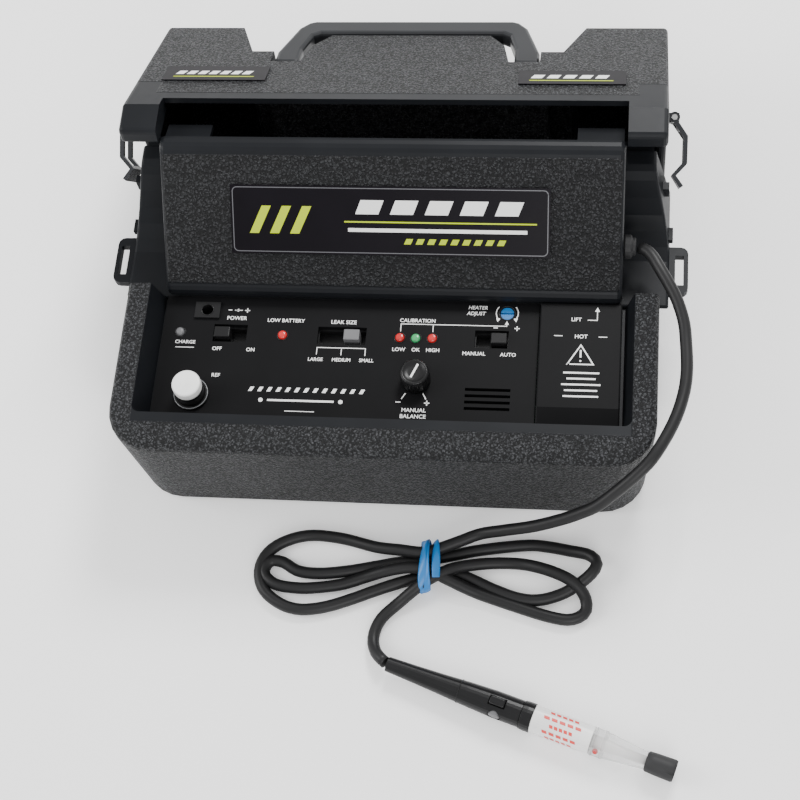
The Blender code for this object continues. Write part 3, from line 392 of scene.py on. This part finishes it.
def shell(name, node, mask, lid=False, size=1.35, grain_highlight_level=1.0):
    """Moulded black shell on a CAD node: grained where mask says, smooth and glossier elsewhere; the grain's peaks
    carry a painted highlight, scaled by the last argument.
    """
    finish = Finish(name, SMOOTH_BLACK, 0.4)
    finish.here(lid)
    grained = mask(*finish.axes())
    height = leather_height(finish, size)
    dust = finish.noise(38.0, 3.0)
    wear = finish.noise(7.0, 2.0)
    plain = finish.blend(dust.step(0.35, 0.75), SMOOTH_BLACK, tuple(c * 1.3 for c in SMOOTH_BLACK))
    peaks = height.step(0.45, 1.25)
    # Painted highlight: the grain's peaks, and flecks on them, are made paler in the base colour to stand in for
    # the lamps' glints
    highlight_fleck = finish.noise(0.8, 3.0, 0.7).step(0.38, 0.66)
    painted_peak_highlight = peaks * 0.45 + highlight_fleck * peaks * 0.75
    rough = finish.blend(painted_peak_highlight, tuple(c * 0.26 for c in GRAIN_BLACK), tuple(c * 2.4 * grain_highlight_level for c in GRAIN_BLACK))
    finish.set("Base Color", finish.blend(grained, plain, rough))
    finish.set("Roughness", grained * (0.10 - peaks * 0.08) + 0.34 + wear * 0.08)
    coarse = finish.bump(height * grained, GRAIN_DEPTH)
    finish.set("Normal", finish.bump(finish.noise(0.55, 2.0), 0.03, 0.5, coarse))
    finish.dull(SHELL_MIRROR)
    finish.paint(node)


shell("grained_shell_base", "base_tub", base_grain)
# Painted light: each shell's grain highlight is scaled by its last argument. It is weaker on the cover's face,
# which is in shade, and stronger on the lid's top, which is lit from above and behind
shell("grained_shell_cover", "front_cover", cover_grain, size=1.5, grain_highlight_level=0.62)
shell("grained_shell_lid", "lid_shell", lid_grain, lid=True, size=1.25, grain_highlight_level=1.25)


def moulded(name, colour, roughness, nodes=(), mirror=PLAIN_MIRROR, speck=0.6, depth=0.03, lid=False):
    """Smooth moulded plastic with a faint orange peel, dust and rubbed patches, given to CAD nodes."""
    finish = Finish(name, colour, roughness)
    finish.here(lid)
    patches = finish.noise(26.0, 3.0)
    paler = tuple(min(1.0, c * 1.18) for c in colour)
    finish.set("Base Color", finish.blend(patches.step(0.3, 0.75), colour, paler))
    finish.set("Roughness", roughness - 0.05 + patches * 0.1 + finish.noise(3.0, 2.0) * 0.04)
    finish.set("Normal", finish.bump(finish.noise(speck, 2.0), depth, 0.6))
    finish.dull(mirror)
    finish.paint(*nodes)
    return finish


moulded("smooth_shell", SMOOTH_BLACK, 0.40, ("storage_bin",), 0.13)
moulded("latch_black", (0.012, 0.013, 0.016), 0.24, ("latch_left", "latch_right"), lid=True)
moulded("handle_grey", (0.017, 0.018, 0.020), 0.30, ("carry_handle",), 0.3, lid=True)
black_finish = moulded("black_plastic", (0.0085, 0.0085, 0.009), 0.28, (
    "power_switch_body", "leak_size_switch_body", "mode_switch_body", "vial_collar", "charger_jack", "loudspeaker",
    "power_slider", "mode_slider", "reference_vial", "probe_handle", "probe_button", "probe_sleeve"), 0.22)
moulded("grey_plastic", (0.11, 0.11, 0.115), 0.42,
        ("leak_size_slider", "charge_led", "balance_potentiometer", "battery", "probe_window"))
moulded("white_plastic", (0.80, 0.80, 0.79), 0.32, ("reference_vial_cap", "probe_label_sleeve"))
rubber_finish = moulded("rubber", (0.020, 0.020, 0.021), 0.55, ("cable_gland",), 0.3)
cable_finish = moulded("cable_black", (0.012, 0.012, 0.0125), 0.42, (), 0.25)
cable.data.materials.append(cable_finish.material)
blue_finish = moulded("blue_plastic", (0.010, 0.15, 0.42), 0.32, ("heater_trimmer", "trimmer_body"))
steel_finish = moulded("steel", (0.58, 0.58, 0.58), 0.28, (
    "lid_hinge_pin", "handle_pin_left", "handle_pin_right", "latch_pin_left", "latch_pin_right", "sensor_cell",
    "air_pump"))
steel_finish.set("Metallic", 1.0)
moulded("board", (0.02, 0.16, 0.07), 0.45, ("circuit_board",))
moulded("panel_sheet", (0.0050, 0.0050, 0.0055), 0.45, ("control_panel", "sensor_cover"), 0.08, 0.4, 0.012)
moulded("plate_dark", (0.004, 0.003, 0.005), 0.30, ("name_plate", "lid_badge_left", "lid_badge_right"), 0.1)
red_finish = moulded("red_lens", (0.50, 0.02, 0.02), 0.20,
                     ("low_battery_led", "calibration_led_low", "calibration_led_high"))
moulded("green_lens", (0.04, 0.34, 0.12), 0.20, ("calibration_led_ok",))
# Pale grey for a painted reflection: the ring round the vial's collar that stands in for its glossy highlight
painted_highlight_finish = moulded("collar_painted_highlight", (0.16, 0.165, 0.17), 0.15)
core_finish = moulded("cone_core", (0.72, 0.71, 0.70), 0.3)

clear_finish = Finish("clear_cone", (0.93, 0.93, 0.93), 0.08)
clear_finish.set("Transmission Weight", 0.75)
clear_finish.set("IOR", 1.12)
clear_finish.set("Alpha", 0.55)
white_ink = Finish("white_ink", (0.88, 0.88, 0.87), 0.45)
lime_ink = Finish("lime_ink", (0.48, 0.60, 0.012), 0.5)
lime_ink.dull(0.2)
edge_ink = Finish("dark_ink", (0.10, 0.10, 0.11), 0.3)
red_ink = Finish("red_ink", (0.72, 0.05, 0.04), 0.45)


# Flat print and small shapes
class Sheet:
    """A flat surface with its own right, up and outward directions, in metres, on which print is laid."""

    def __init__(self, middle, right, up):
        self.middle = Vector(middle)
        self.right = Vector(right).normalized()
        self.out = self.right.cross(Vector(up)).normalized()
        self.up = self.out.cross(self.right).normalized()

    def point(self, x, y, lift):
        """A place x to the right, y up and lift off the sheet, in millimetres from its middle."""
        return self.middle + (self.right * x + self.up * y + self.out * lift) * MM


def top_sheet(name):
    """The sheet on the widest upward face of a CAD node, with its middle."""
    mesh = NODES[name].data
    faces = [face for face in mesh.polygons if face.normal.z > 0.3]
    widest = max(faces, key=lambda face: face.area)
    out = widest.normal.copy()
    level = max(out.dot(vertex.co) for vertex in mesh.vertices)
    corners = [vertex.co for vertex in mesh.vertices if out.dot(vertex.co) > level - 0.0002]
    middle = sum(corners, Vector()) / len(corners)
    low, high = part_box(name)
    middle.x = (low[0] + high[0]) / 2
    right = Vector((1.0, 0.0, 0.0))
    right = (right - out * right.dot(out)).normalized()
    return Sheet(middle, right, out.cross(right))


# Print stands this many millimetres off its sheet; a capital fills this share of the typeface's size
INK_LIFT = 0.05
CAPITAL_SHARE = 0.69


class Print:
    """Ink on a sheet: lines, rings, filled outlines and letters, all in one mesh."""

    def __init__(self, sheet):
        self.sheet = sheet
        self.places = []
        self.faces = []

    def area(self, points):
        """A filled outline."""
        start = len(self.places)
        self.places += [self.sheet.point(x, y, INK_LIFT) for x, y in points]
        self.faces.append(tuple(range(start, start + len(points))))

    def line(self, points, width):
        """A line of even width with square ends and mitred corners."""
        points = [np.array(point, float) for point in points]
        steps = [(b - a) / np.linalg.norm(b - a) for a, b in zip(points, points[1:])]
        sides = [np.array((-step[1], step[0])) for step in steps]
        joints = [sides[0]]
        for a, b in zip(sides, sides[1:]):
            joints.append((a + b) / (1 + a.dot(b)))
        joints.append(sides[-1])
        start = len(self.places)
        for point, side in zip(points, joints):
            for sign in (-0.5, 0.5):
                x, y = point + side * width * sign
                self.places.append(self.sheet.point(x, y, INK_LIFT))
        for k in range(len(points) - 1):
            a = start + 2 * k
            self.faces.append((a, a + 2, a + 3, a + 1))

    def bars(self, count, x, pitch, low, high, wide, lean):
        """A row of slanted bars: wide along the row, leaning by lean from their feet to their tops."""
        for start in x + pitch * np.arange(count):
            self.area([(start, low), (start + wide, low), (start + wide + lean, high), (start + lean, high)])

    def arc(self, x, y, radius, start, end, width):
        """A part of a circle between two angles in degrees."""
        angles = np.radians(np.linspace(start, end, 25))
        self.line([(x + radius * math.cos(a), y + radius * math.sin(a)) for a in angles], width)

    def disc(self, x, y, radius):
        """A filled circle."""
        angles = np.linspace(0, 2 * math.pi, 28, endpoint=False)
        self.area([(x + radius * math.cos(a), y + radius * math.sin(a)) for a in angles])

    def arrow(self, x, y, angle, length, width):
        """A filled arrow head with its tip at x, y, pointing along angle."""
        turn = math.radians(angle)
        along = np.array((math.cos(turn), math.sin(turn)))
        across = np.array((-along[1], along[0]))
        tip = np.array((x, y))
        self.area([tuple(tip), tuple(tip - along * length + across * width / 2),
                   tuple(tip - along * length - across * width / 2)])

    def words(self, text, x, y, height, wide=1.0, lean=0.0, bold=0.012):
        """Letters of a plain typeface, with capitals height millimetres high, about a middle point."""
        curve = bpy.data.curves.new("letters", "FONT")
        curve.body = text
        curve.align_x = "CENTER"
        curve.align_y = "CENTER"
        curve.size = 1.0
        curve.offset = bold
        curve.resolution_u = 3
        item = bpy.data.objects.new("letters", curve)
        bpy.context.scene.collection.objects.link(item)
        mesh = item.evaluated_get(bpy.context.evaluated_depsgraph_get()).to_mesh()
        scale = height / CAPITAL_SHARE
        start = len(self.places)
        for vertex in mesh.vertices:
            across, up = vertex.co.x * scale, vertex.co.y * scale
            self.places.append(self.sheet.point(x + across * wide + up * lean, y + up, INK_LIFT))
        self.faces += [tuple(start + k for k in face.vertices) for face in mesh.polygons]
        bpy.data.objects.remove(item)
        bpy.data.curves.remove(curve)

    def made(self, name, finish, body):
        """The ink as a piece on a body."""
        mesh = bpy.data.meshes.new(name)
        mesh.from_pydata([tuple(place) for place in self.places], [], self.faces)
        placed(mesh, body, finish)


def turned(profile, middle, sides, wave=None, axis=((1, 0, 0), (0, 1, 0), (0, 0, 1))):
    """Rows of a turned shape: profile is (radius, height) in millimetres about middle, in metres along axis.

    Each row is a ring whose radius may be multiplied by one plus wave of the angle and the row's number.
    """
    right, up, out = (np.array(v, float) for v in axis)
    angles = np.linspace(0, 2 * math.pi, sides, endpoint=False)
    rows = []
    for k, (radius, height) in enumerate(profile):
        reach = radius * (1 + (wave(angles, k) if wave else 0)) * MM
        rows.append(np.array(middle)[None, :] + np.cos(angles)[:, None] * right * np.reshape(reach, (-1, 1))
                    + np.sin(angles)[:, None] * up * np.reshape(reach, (-1, 1)) + out * height * MM)
    return np.array(rows)


# Control panel: where its round pieces stand, and its print, in case millimetres
PANEL_TOP = 60.0
KNOB_AT = (16.9, 50.5)
TRIMMER_AT = (63.2, 92.0)
JACK_AT = (-101.0, 89.4)
VIAL_AT = (-103.6, 38.5)
LAMPS = {
    "charge_led": (-114.8, 75.9),
    "low_battery_led": (-57.9, 75.4),
    "calibration_led_low": (6.3, 75.6),
    "calibration_led_ok": (14.9, 75.4),
    "calibration_led_high": (23.8, 75.6),
}
# Each word with its middle, height, width and lean
PANEL_WORDS = (
    ("POWER", -84.3, 85.2, 2.2), ("OFF", -93.2, 66.4, 2.1), ("ON", -74.6, 66.2, 2.1),
    ("LOW BATTERY", -56.9, 84.4, 2.1), ("LEAK SIZE", -25.0, 84.2, 2.2),
    ("LARGE", -38.5, 61.4, 2.0, 0.94), ("MEDIUM", -24.4, 61.4, 2.0, 0.94), ("SMALL", -10.8, 61.4, 2.0, 0.94),
    ("CALIBRATION", 15.2, 86.2, 2.1), ("LOW", 6.1, 68.6, 2.1), ("OK", 15.3, 68.6, 2.1),
    ("HIGH", 24.5, 68.6, 2.1), ("MANUAL", 46.6, 67.2, 2.1), ("AUTO", 64.9, 67.0, 2.1),
    ("MANUAL", 16.9, 33.0, 2.2), ("BALANCE", 16.7, 29.4, 2.2),
)
PANEL_THIN_WORDS = (
    ("CHARGE", -111.3, 70.0, 2.0), ("REF", -91.8, 50.4, 2.1),
    ("HEATER", 47.4, 94.9, 2.1, 0.95, 0.18), ("ADJUST", 46.6, 91.4, 2.1, 0.95, 0.18),
)
# Each line's width and points: jack polarity, lamp underline, leak size bracket, rules, calibration bracket,
# signs by the trimmer, ticks and signs by the knob
PANEL_LINES = (
    (0.5, (-89.6, 90.2), (-87.6, 90.2)), (0.4, (-86.0, 90.1), (-81.6, 90.1)),
    (0.55, (-80.3, 90.1), (-77.6, 90.1)), (0.55, (-78.95, 88.8), (-78.95, 91.4)),
    (0.35, (-116.4, 66.8), (-106.0, 66.8)),
    (0.42, (-38.2, 64.4), (-38.2, 68.6), (-11.8, 68.6), (-11.8, 64.2)), (0.42, (-24.8, 68.6), (-24.8, 64.3)),
    (1.1, (-62.0, 36.6), (-26.0, 36.6)), (0.4, (-52.0, 30.4), (-36.0, 30.4)),
    (0.42, (6.3, 79.6), (6.3, 84.1), (63.3, 84.1), (63.3, 85.2)), (0.42, (23.8, 79.6), (23.8, 84.1)),
    (0.5, (56.3, 83.0), (58.6, 83.0)), (0.55, (67.5, 82.9), (70.3, 82.9)), (0.55, (68.9, 81.5), (68.9, 84.3)),
    (0.6, (9.9, 39.4), (11.9, 42.9)), (0.6, (23.0, 39.6), (21.2, 43.0)),
    (0.55, (7.0, 37.6), (9.7, 37.6)), (0.6, (22.2, 37.4), (25.0, 37.4)), (0.6, (23.6, 36.0), (23.6, 38.8)),
)
# Each arrow head's tip, direction, length and width
PANEL_ARROWS = ((-85.4, 90.1, 180, 1.6, 1.9), (63.3, 87.2, 90, 2.2, 2.2), (58.2, 86.6, 262, 2.3, 2.3),
                (68.2, 86.6, 278, 2.3, 2.3))


def panel_print():
    """Words, brackets, ticks and arrows of the control panel, with plain generic labels."""
    ink = Print(Sheet(at(0, 0, PANEL_TOP), (1, 0, 0), (0, 1, 0)))
    for entry in PANEL_WORDS:
        ink.words(*entry)
    for entry in PANEL_THIN_WORDS:
        ink.words(*entry, bold=0.01)
    for width, *points in PANEL_LINES:
        ink.line(points, width)
    for entry in PANEL_ARROWS:
        ink.arrow(*entry)
    ink.bars(13, -73.0, 5.0, 41.6, 44.2, 2.0, 1.2)
    for x in (-65.6, -22.4):
        ink.disc(x, 36.6, 1.2)
    for start in (140, -32):
        ink.arc(*TRIMMER_AT, 5.9, start, start + 72, 0.5)
    ink.made("panel_print", white_ink, "case")


panel_print()


def plate_sheet(name):
    """A plate's sheet about the plate's middle, with half the plate's width and height in millimetres."""
    sheet = top_sheet(name)
    spots = [vertex.co - sheet.middle for vertex in NODES[name].data.vertices]
    wide = [sheet.right.dot(spot) / MM for spot in spots]
    tall = [sheet.up.dot(spot) / MM for spot in spots]
    sheet.middle = sheet.middle + sheet.right * (max(wide) + min(wide)) / 2 * MM
    sheet.middle = sheet.middle + sheet.up * (max(tall) + min(tall)) / 2 * MM
    return sheet, (max(wide) - min(wide)) / 2, (max(tall) - min(tall)) / 2


def frame_line(ink, half, tall, inset, round_by, width):
    """A line round a plate, inset from its edge, with round corners."""
    outline = []
    for side, end, start in ((1, 1, 0), (-1, 1, 90), (-1, -1, 180), (1, -1, 270)):
        for angle in np.radians(start + 15.0 * np.arange(7)):
            outline.append((side * (half - inset - round_by) + round_by * math.cos(angle),
                            end * (tall - inset - round_by) + round_by * math.sin(angle)))
    ink.line(outline + outline[:2], width)


def dress_name_plate():
    """Plain name plate: an edge line, lime bars and rule, white blocks and rule, and a row of lime dashes."""
    sheet, half, tall = plate_sheet("name_plate")
    edge = Print(sheet)
    frame_line(edge, half, tall, 1.2, 2.4, 0.5)
    edge.made("name_plate_edge", edge_ink, "case")
    lime = Print(sheet)
    lime.line([(-24.0, -0.6), (half - 7.0, -0.6)], 0.8)
    lime.bars(3, 10.0 - half, 11.0, -7.5, 7.5, 5.0, 7.0)
    lime.bars(9, 8.0, 6.2, -12.4, -9.4, 3.6, 1.4)
    lime.made("name_plate_lime", lime_ink, "case")
    white = Print(sheet)
    white.bars(5, -18.0, 18.6, 3.6, 11.2, 12.4, 3.0)
    white.line([(-22.0, -5.0), (half - 12.0, -5.0)], 2.0)
    white.made("name_plate_white", white_ink, "case")


def dress_badge(node, count):
    """Small lid plate with a few slanted white bars and a thin lime line below them."""
    sheet, half, tall = plate_sheet(node)
    white = Print(sheet)
    white.bars(count, -half * 0.78, half * 1.5 / count, -1.8, 2.6, half * 1.05 / count, 1.8)
    white.made(node + "_bars", white_ink, "lid")
    rule = Print(sheet)
    rule.line([(-half * 0.8, -tall * 0.52), (half * 0.76, -tall * 0.52)], 0.8)
    rule.made(node + "_rule", lime_ink, "lid")


dress_name_plate()
dress_badge("lid_badge_left", 7)
dress_badge("lid_badge_right", 5)


def dress_sensor_cover():
    """Lift arrow, a pair of dashes and a warning triangle over rows of short bars on the sensor cover."""
    ink = Print(Sheet(Vector((0, -MID_Y * MM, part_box("sensor_cover")[1][2])), (1, 0, 0), (0, 1, 0)))
    ink.line([(106.4, 86.8), (111.4, 86.8), (111.4, 92.0)], 0.45)
    ink.arrow(111.4, 94.6, 90, 2.6, 2.6)
    ink.words("LIFT", 100.4, 87.0, 2.1)
    ink.line([(88.9, 77.2), (93.4, 77.2)], 0.45)
    ink.line([(112.4, 76.9), (116.9, 76.9)], 0.45)
    ink.words("HOT", 103.2, 76.9, 2.2, bold=0.014)
    ink.line([(96.5, 60.6), (110.1, 60.6), (103.3, 71.9), (96.5, 60.6), (97.6, 60.6)], 0.7)
    ink.line([(103.3, 69.0), (103.3, 64.6)], 0.9)
    ink.disc(103.3, 62.6, 0.55)
    for row, reach in enumerate((9.4, 7.6, 10.2, 8.6, 9.2)):
        ink.line([(104.0 - reach, 55.6 - 3.4 * row), (104.0 + reach, 55.6 - 3.4 * row)], 0.95)
    ink.made("sensor_cover_print", white_ink, "sensor_lid")


dress_sensor_cover()


# Balance knob: a fluted skirt, a bevelled top and a white pointer
KNOB_FLUTES = 30
FLUTE_DEPTH = 0.035


def dress_knob():
    """Turned knob with shallow flutes on its side; the flutes fade out towards the top edge."""
    low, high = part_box("balance_knob")
    bottom, top = low[2] / MM, high[2] / MM
    profile = [(7.7, bottom), (8.0, bottom + 0.5), (8.0, top - 2.6), (7.7, top - 1.2), (7.0, top - 0.5),
               (6.2, top - 0.25), (5.9, top - 0.7), (3.0, top - 0.8), (0.05, top - 0.8)]
    depths = (0.5, 1.0, 1.0, 0.6, 0.2, 0.0, 0.0, 0.0, 0.0)

    def flutes(angle, row):
        return -FLUTE_DEPTH * depths[row] * (0.5 + 0.5 * np.cos(KNOB_FLUTES * angle)) ** 2

    rows = turned(profile, at(*KNOB_AT, 0), 180, flutes)
    placed(grid_mesh("balance_knob_turned", rows, around=True, caps=True), "balance",
           black_finish, ("balance_knob",))
    ink = Print(Sheet(at(*KNOB_AT, top - 0.75), (1, 0, 0), (0, 1, 0)))
    ink.line([(-1.6, -3.2), (1.7, 4.6)], 1.1)
    ink.made("knob_pointer", white_ink, "balance")


dress_knob()


def ring(name, spot, z, radius, thick, finish=black_finish):
    """A small round bezel about a spot of the panel: a ring of round section lying flat."""
    around = np.linspace(0, 2 * math.pi, 48, endpoint=False)[:, None]
    about = np.linspace(0, 2 * math.pi, 12, endpoint=False)[None, :]
    reach = radius + thick * np.cos(about)
    rows = np.stack((spot[0] + reach * np.cos(around), spot[1] + reach * np.sin(around),
                     z + thick * np.sin(about) + 0 * around), -1)
    placed(grid_mesh(name, case_points(rows), around=True, closed=True), "case", finish)


for name, spot in LAMPS.items():
    ring(name + "_bezel", spot, PANEL_TOP, 2.95, 0.32)
ring("trimmer_bezel", TRIMMER_AT, PANEL_TOP, 4.25, 0.35)
ring("jack_mouth", JACK_AT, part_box("charger_jack")[1][2] / MM, 3.35, 0.3)
# Painted reflection: a pale grey ring over the vial's collar, where the glossy collar catches the light
ring("vial_painted_highlight", VIAL_AT, PANEL_TOP + 1.5, 9.1, 0.35, painted_highlight_finish)


# Tie round the hank: a flat blue band wound two and two thirds times round the cables
TIE_MIDDLE = (24.5, -35.0, 8.1)
TIE_REACH = (13.6, 7.3)
TIE_SECTION = (2.3, 0.8)
TIE_LOWEST = 0.15


def dress_tie():
    """Flat band wound as an oval that drifts along the cables; its section rocks to and fro as it goes."""
    turns = np.linspace(-0.30, 2.35, 260)
    angle = 2 * math.pi * turns
    x = TIE_MIDDLE[0] + 2.4 * np.sin(angle * 0.5 + 0.4) + (turns - 1.0) * 2.6
    y = TIE_MIDDLE[1] + TIE_REACH[0] * np.cos(angle)
    z = TIE_MIDDLE[2] + TIE_REACH[1] * np.sin(angle) * np.where(np.sin(angle) > 0, 1.05, 0.96)
    points = np.column_stack((x, y, np.maximum(z, 1.1)))
    ahead = np.gradient(points, axis=0)
    ahead /= np.linalg.norm(ahead, axis=1)[:, None]
    side = np.tile((1.0, 0.0, 0.0), (len(points), 1))
    side -= ahead * np.sum(side * ahead, 1)[:, None]
    side /= np.linalg.norm(side, axis=1)[:, None]
    other = np.cross(ahead, side)
    twist = 0.9 * np.sin(turns * 7.0)[:, None]
    about = np.linspace(0, 2 * math.pi, 16, endpoint=False)[None, :]
    wide = TIE_SECTION[0] * np.cos(about)
    thin = TIE_SECTION[1] * np.sin(about)
    beside = wide * np.cos(twist) - thin * np.sin(twist)
    above = wide * np.sin(twist) + thin * np.cos(twist)
    rows = points[:, None, :] + beside[..., None] * side[:, None, :] + above[..., None] * other[:, None, :]
    rows[..., 2] = np.maximum(rows[..., 2], TIE_LOWEST)
    band = grid_mesh("cable_tie_band", case_points(rows), around=True, caps=True)
    return placed(band, "case", blue_finish, ("cable_tie",))


tie = dress_tie()
tuple(at(*CABLE_ROUTE[0]))
[tuple(point) for point in case_points(cable_path)]


# Probe: its own line on the table, from the cable's end to the tip
PROBE_REAR = np.array((7.8, -89.9, 8.4))
PROBE_FRONT = np.array((157.4, -138.0, 8.4))
PROBE_LENGTH = float(np.linalg.norm(PROBE_FRONT - PROBE_REAR))
PROBE_ALONG = (PROBE_FRONT - PROBE_REAR) / PROBE_LENGTH
PROBE_SIDE = np.cross((0.0, 0.0, 1.0), PROBE_ALONG)
PROBE_SIDE /= np.linalg.norm(PROBE_SIDE)
PROBE_AXES = (tuple(PROBE_SIDE), (0.0, 0.0, 1.0), tuple(PROBE_ALONG))
CONE_RIBS = 6
RIB_HEIGHT = 0.018
NOTCH_DEPTH = 0.16
# Red dashes round the white sleeve: the middle of their rows, radius, and each row's angle and length
DASH_MIDDLE = 97.5
DASH_REACH = 7.38
DASHES_PER_ROW = 5
DASH_ROWS = ((-20, 22.0), (10, 15.0), (40, 19.0), (70, 13.0), (100, 21.0), (130, 16.0))


def probe_round(name, profile, finish, replaces=(), wave=None, sides=72):
    """A turned piece of the probe: its profile gives radius and distance from the cable's end."""
    rows = turned(profile, at(*PROBE_REAR), sides, wave, PROBE_AXES)
    placed(grid_mesh(name, rows, around=True, caps=True), "case", finish, replaces)


def probe_band(name, along, reach, rise, steps, finish):
    """A thin raised ring round the probe: steps are the start and end of its flat and the end of its foot."""
    first, last, end = steps
    probe_round(name, [(reach - rise, along), (reach, along + first), (reach, along + last),
                       (reach - rise, along + end)], finish)


def probe_spot(along, angle, reach):
    """A point on the probe: distance along it, angle round it from its side towards the top, and radius."""
    side = math.cos(angle) * reach
    tall = math.sin(angle) * reach
    return PROBE_REAR + PROBE_ALONG * along + PROBE_SIDE * side + np.array((0.0, 0.0, tall))


def sleeve_print():
    """Rows of short red dashes that follow the round of the white sleeve."""
    places = []
    faces = []
    for angle, length in DASH_ROWS:
        pitch = length / DASHES_PER_ROW
        for start in DASH_MIDDLE - length / 2 + pitch * np.arange(DASHES_PER_ROW):
            first = len(places)
            for turn in (-6.6, -2.2, 2.2, 6.6):
                for along in (start, start + pitch * 0.72):
                    round_by = math.radians(180 - angle + turn)
                    places.append(probe_spot(along + turn * 0.04, round_by, DASH_REACH))
            faces += [(first + k, first + k + 1, first + k + 3, first + k + 2) for k in (0, 2, 4)]
    mesh = bpy.data.meshes.new("probe_sleeve_print")
    mesh.from_pydata(case_points(places).tolist(), [], faces)
    placed(mesh, "case", red_ink)


def dress_probe():
    """Clear ribbed cone over a pale core, lamp lens and dot, bands, sleeve print and a notched rubber tip."""
    def ribs(angle, row):
        return RIB_HEIGHT * np.cos(CONE_RIBS * angle) * (1.0 if row > 2 else 0.0)

    probe_round("probe_cone_clear", [(7.0, 113.3), (7.35, 113.8), (7.35, 119.6), (6.9, 120.6), (6.2, 127.0),
                                     (5.4, 134.0), (4.7, 141.6)],
                clear_finish, ("probe_cone",), ribs, 96)
    probe_round("probe_cone_core", [(3.3, 113.4), (3.3, 121.0), (2.6, 126.0), (2.2, 141.4)],
                core_finish)
    probe_round("probe_lamp_lens", [(1.9, 119.0), (1.9, 123.6), (1.4, 125.2), (0.05, 126.0)],
                red_finish, ("probe_led",))
    dot = turned([(0.05, 1.5), (0.9, 1.25), (1.45, 0.5), (1.5, 0.0), (0.9, -1.2), (0.05, -1.5)],
                 at(*probe_spot(116.6, math.radians(150), 6.3)), 24)
    placed(grid_mesh("probe_lamp_dot", dot, around=True, caps=True), "case", red_finish)
    for along, reach in ((113.6, 7.55), (118.9, 7.5)):
        probe_band(f"probe_cone_band_{int(along)}", along, reach, 0.4, (0.25, 0.9, 1.2), clear_finish)

    # Tip: a rubber cup with a flared lip and four shallow notches in its open end
    def notch(angle, row):
        return -NOTCH_DEPTH * (np.abs(np.sin(2 * angle + 0.5)) > 0.975) * (1.0 if 3 < row < 7 else 0.0)

    probe_round("probe_tip_notched", [(4.6, 141.8), (5.3, 142.4), (5.55, 146.0), (5.7, 152.0),
                                      (5.8, PROBE_LENGTH - 1.2), (5.4, PROBE_LENGTH - 0.1),
                                      (3.6, PROBE_LENGTH - 0.2), (3.3, PROBE_LENGTH - 3.6),
                                      (0.05, PROBE_LENGTH - 3.8)],
                rubber_finish, ("probe_tip",), notch, 160)
    sleeve_print()
    # Lines where the handle steps and before the sleeve
    for along, reach in ((40.5, 6.42), (75.2, 7.5)):
        probe_band(f"probe_groove_{int(along)}", along, reach, 0.5, (0.2, 0.5, 0.7), black_finish)


dress_probe()


# Light and floor
WORLD_LIGHT = 0.95
FLOOR_HALF = 3.0
FLOOR_GLOW = 0.24


def lamp(name, place, look, size, power):
    """A square lamp at a place in metres, turned to the point that it looks at."""
    data = bpy.data.lights.new(name, "AREA")
    data.energy = power
    data.size = size
    item = bpy.data.objects.new(name, data)
    bpy.context.scene.collection.objects.link(item)
    item.location = place
    item.rotation_euler = (Vector(look) - Vector(place)).to_track_quat("-Z", "Y").to_euler()


lamp("key", (0.35, 0.95, 1.25), (0.0, 0.02, 0.06), 0.5, 25.0)
lamp("left_fill", (-0.95, -0.15, 0.75), (0.0, 0.0, 0.05), 0.6, 8.0)
lamp("front_fill", (0.35, -1.15, 0.75), (0.0, 0.0, 0.05), 0.7, 8.0)
world = bpy.data.worlds.new("studio")
bpy.context.scene.world = world
world.use_nodes = True
world.node_tree.nodes["Background"].inputs[0].default_value = (1.0, 1.0, 1.0, 1.0)
world.node_tree.nodes["Background"].inputs[1].default_value = WORLD_LIGHT

# The floor glows for the camera alone, so that it is pale without lighting the object
floor_mesh = bpy.data.meshes.new("floor")
floor_mesh.from_pydata([(x * FLOOR_HALF, y * FLOOR_HALF, 0) for x, y in ((-1, -1), (1, -1), (1, 1), (-1, 1))],
                       [], [(0, 1, 2, 3)])
floor = bpy.data.objects.new("floor", floor_mesh)
bpy.context.scene.collection.objects.link(floor)
floor_finish = Finish("pale_floor", (0.97, 0.97, 0.97), 0.95)
floor_finish.set("Emission Color", floor_finish.node("LightPath").outputs["Is Camera Ray"])
floor_finish.set("Emission Strength", FLOOR_GLOW)
floor_mesh.materials.append(floor_finish.material)
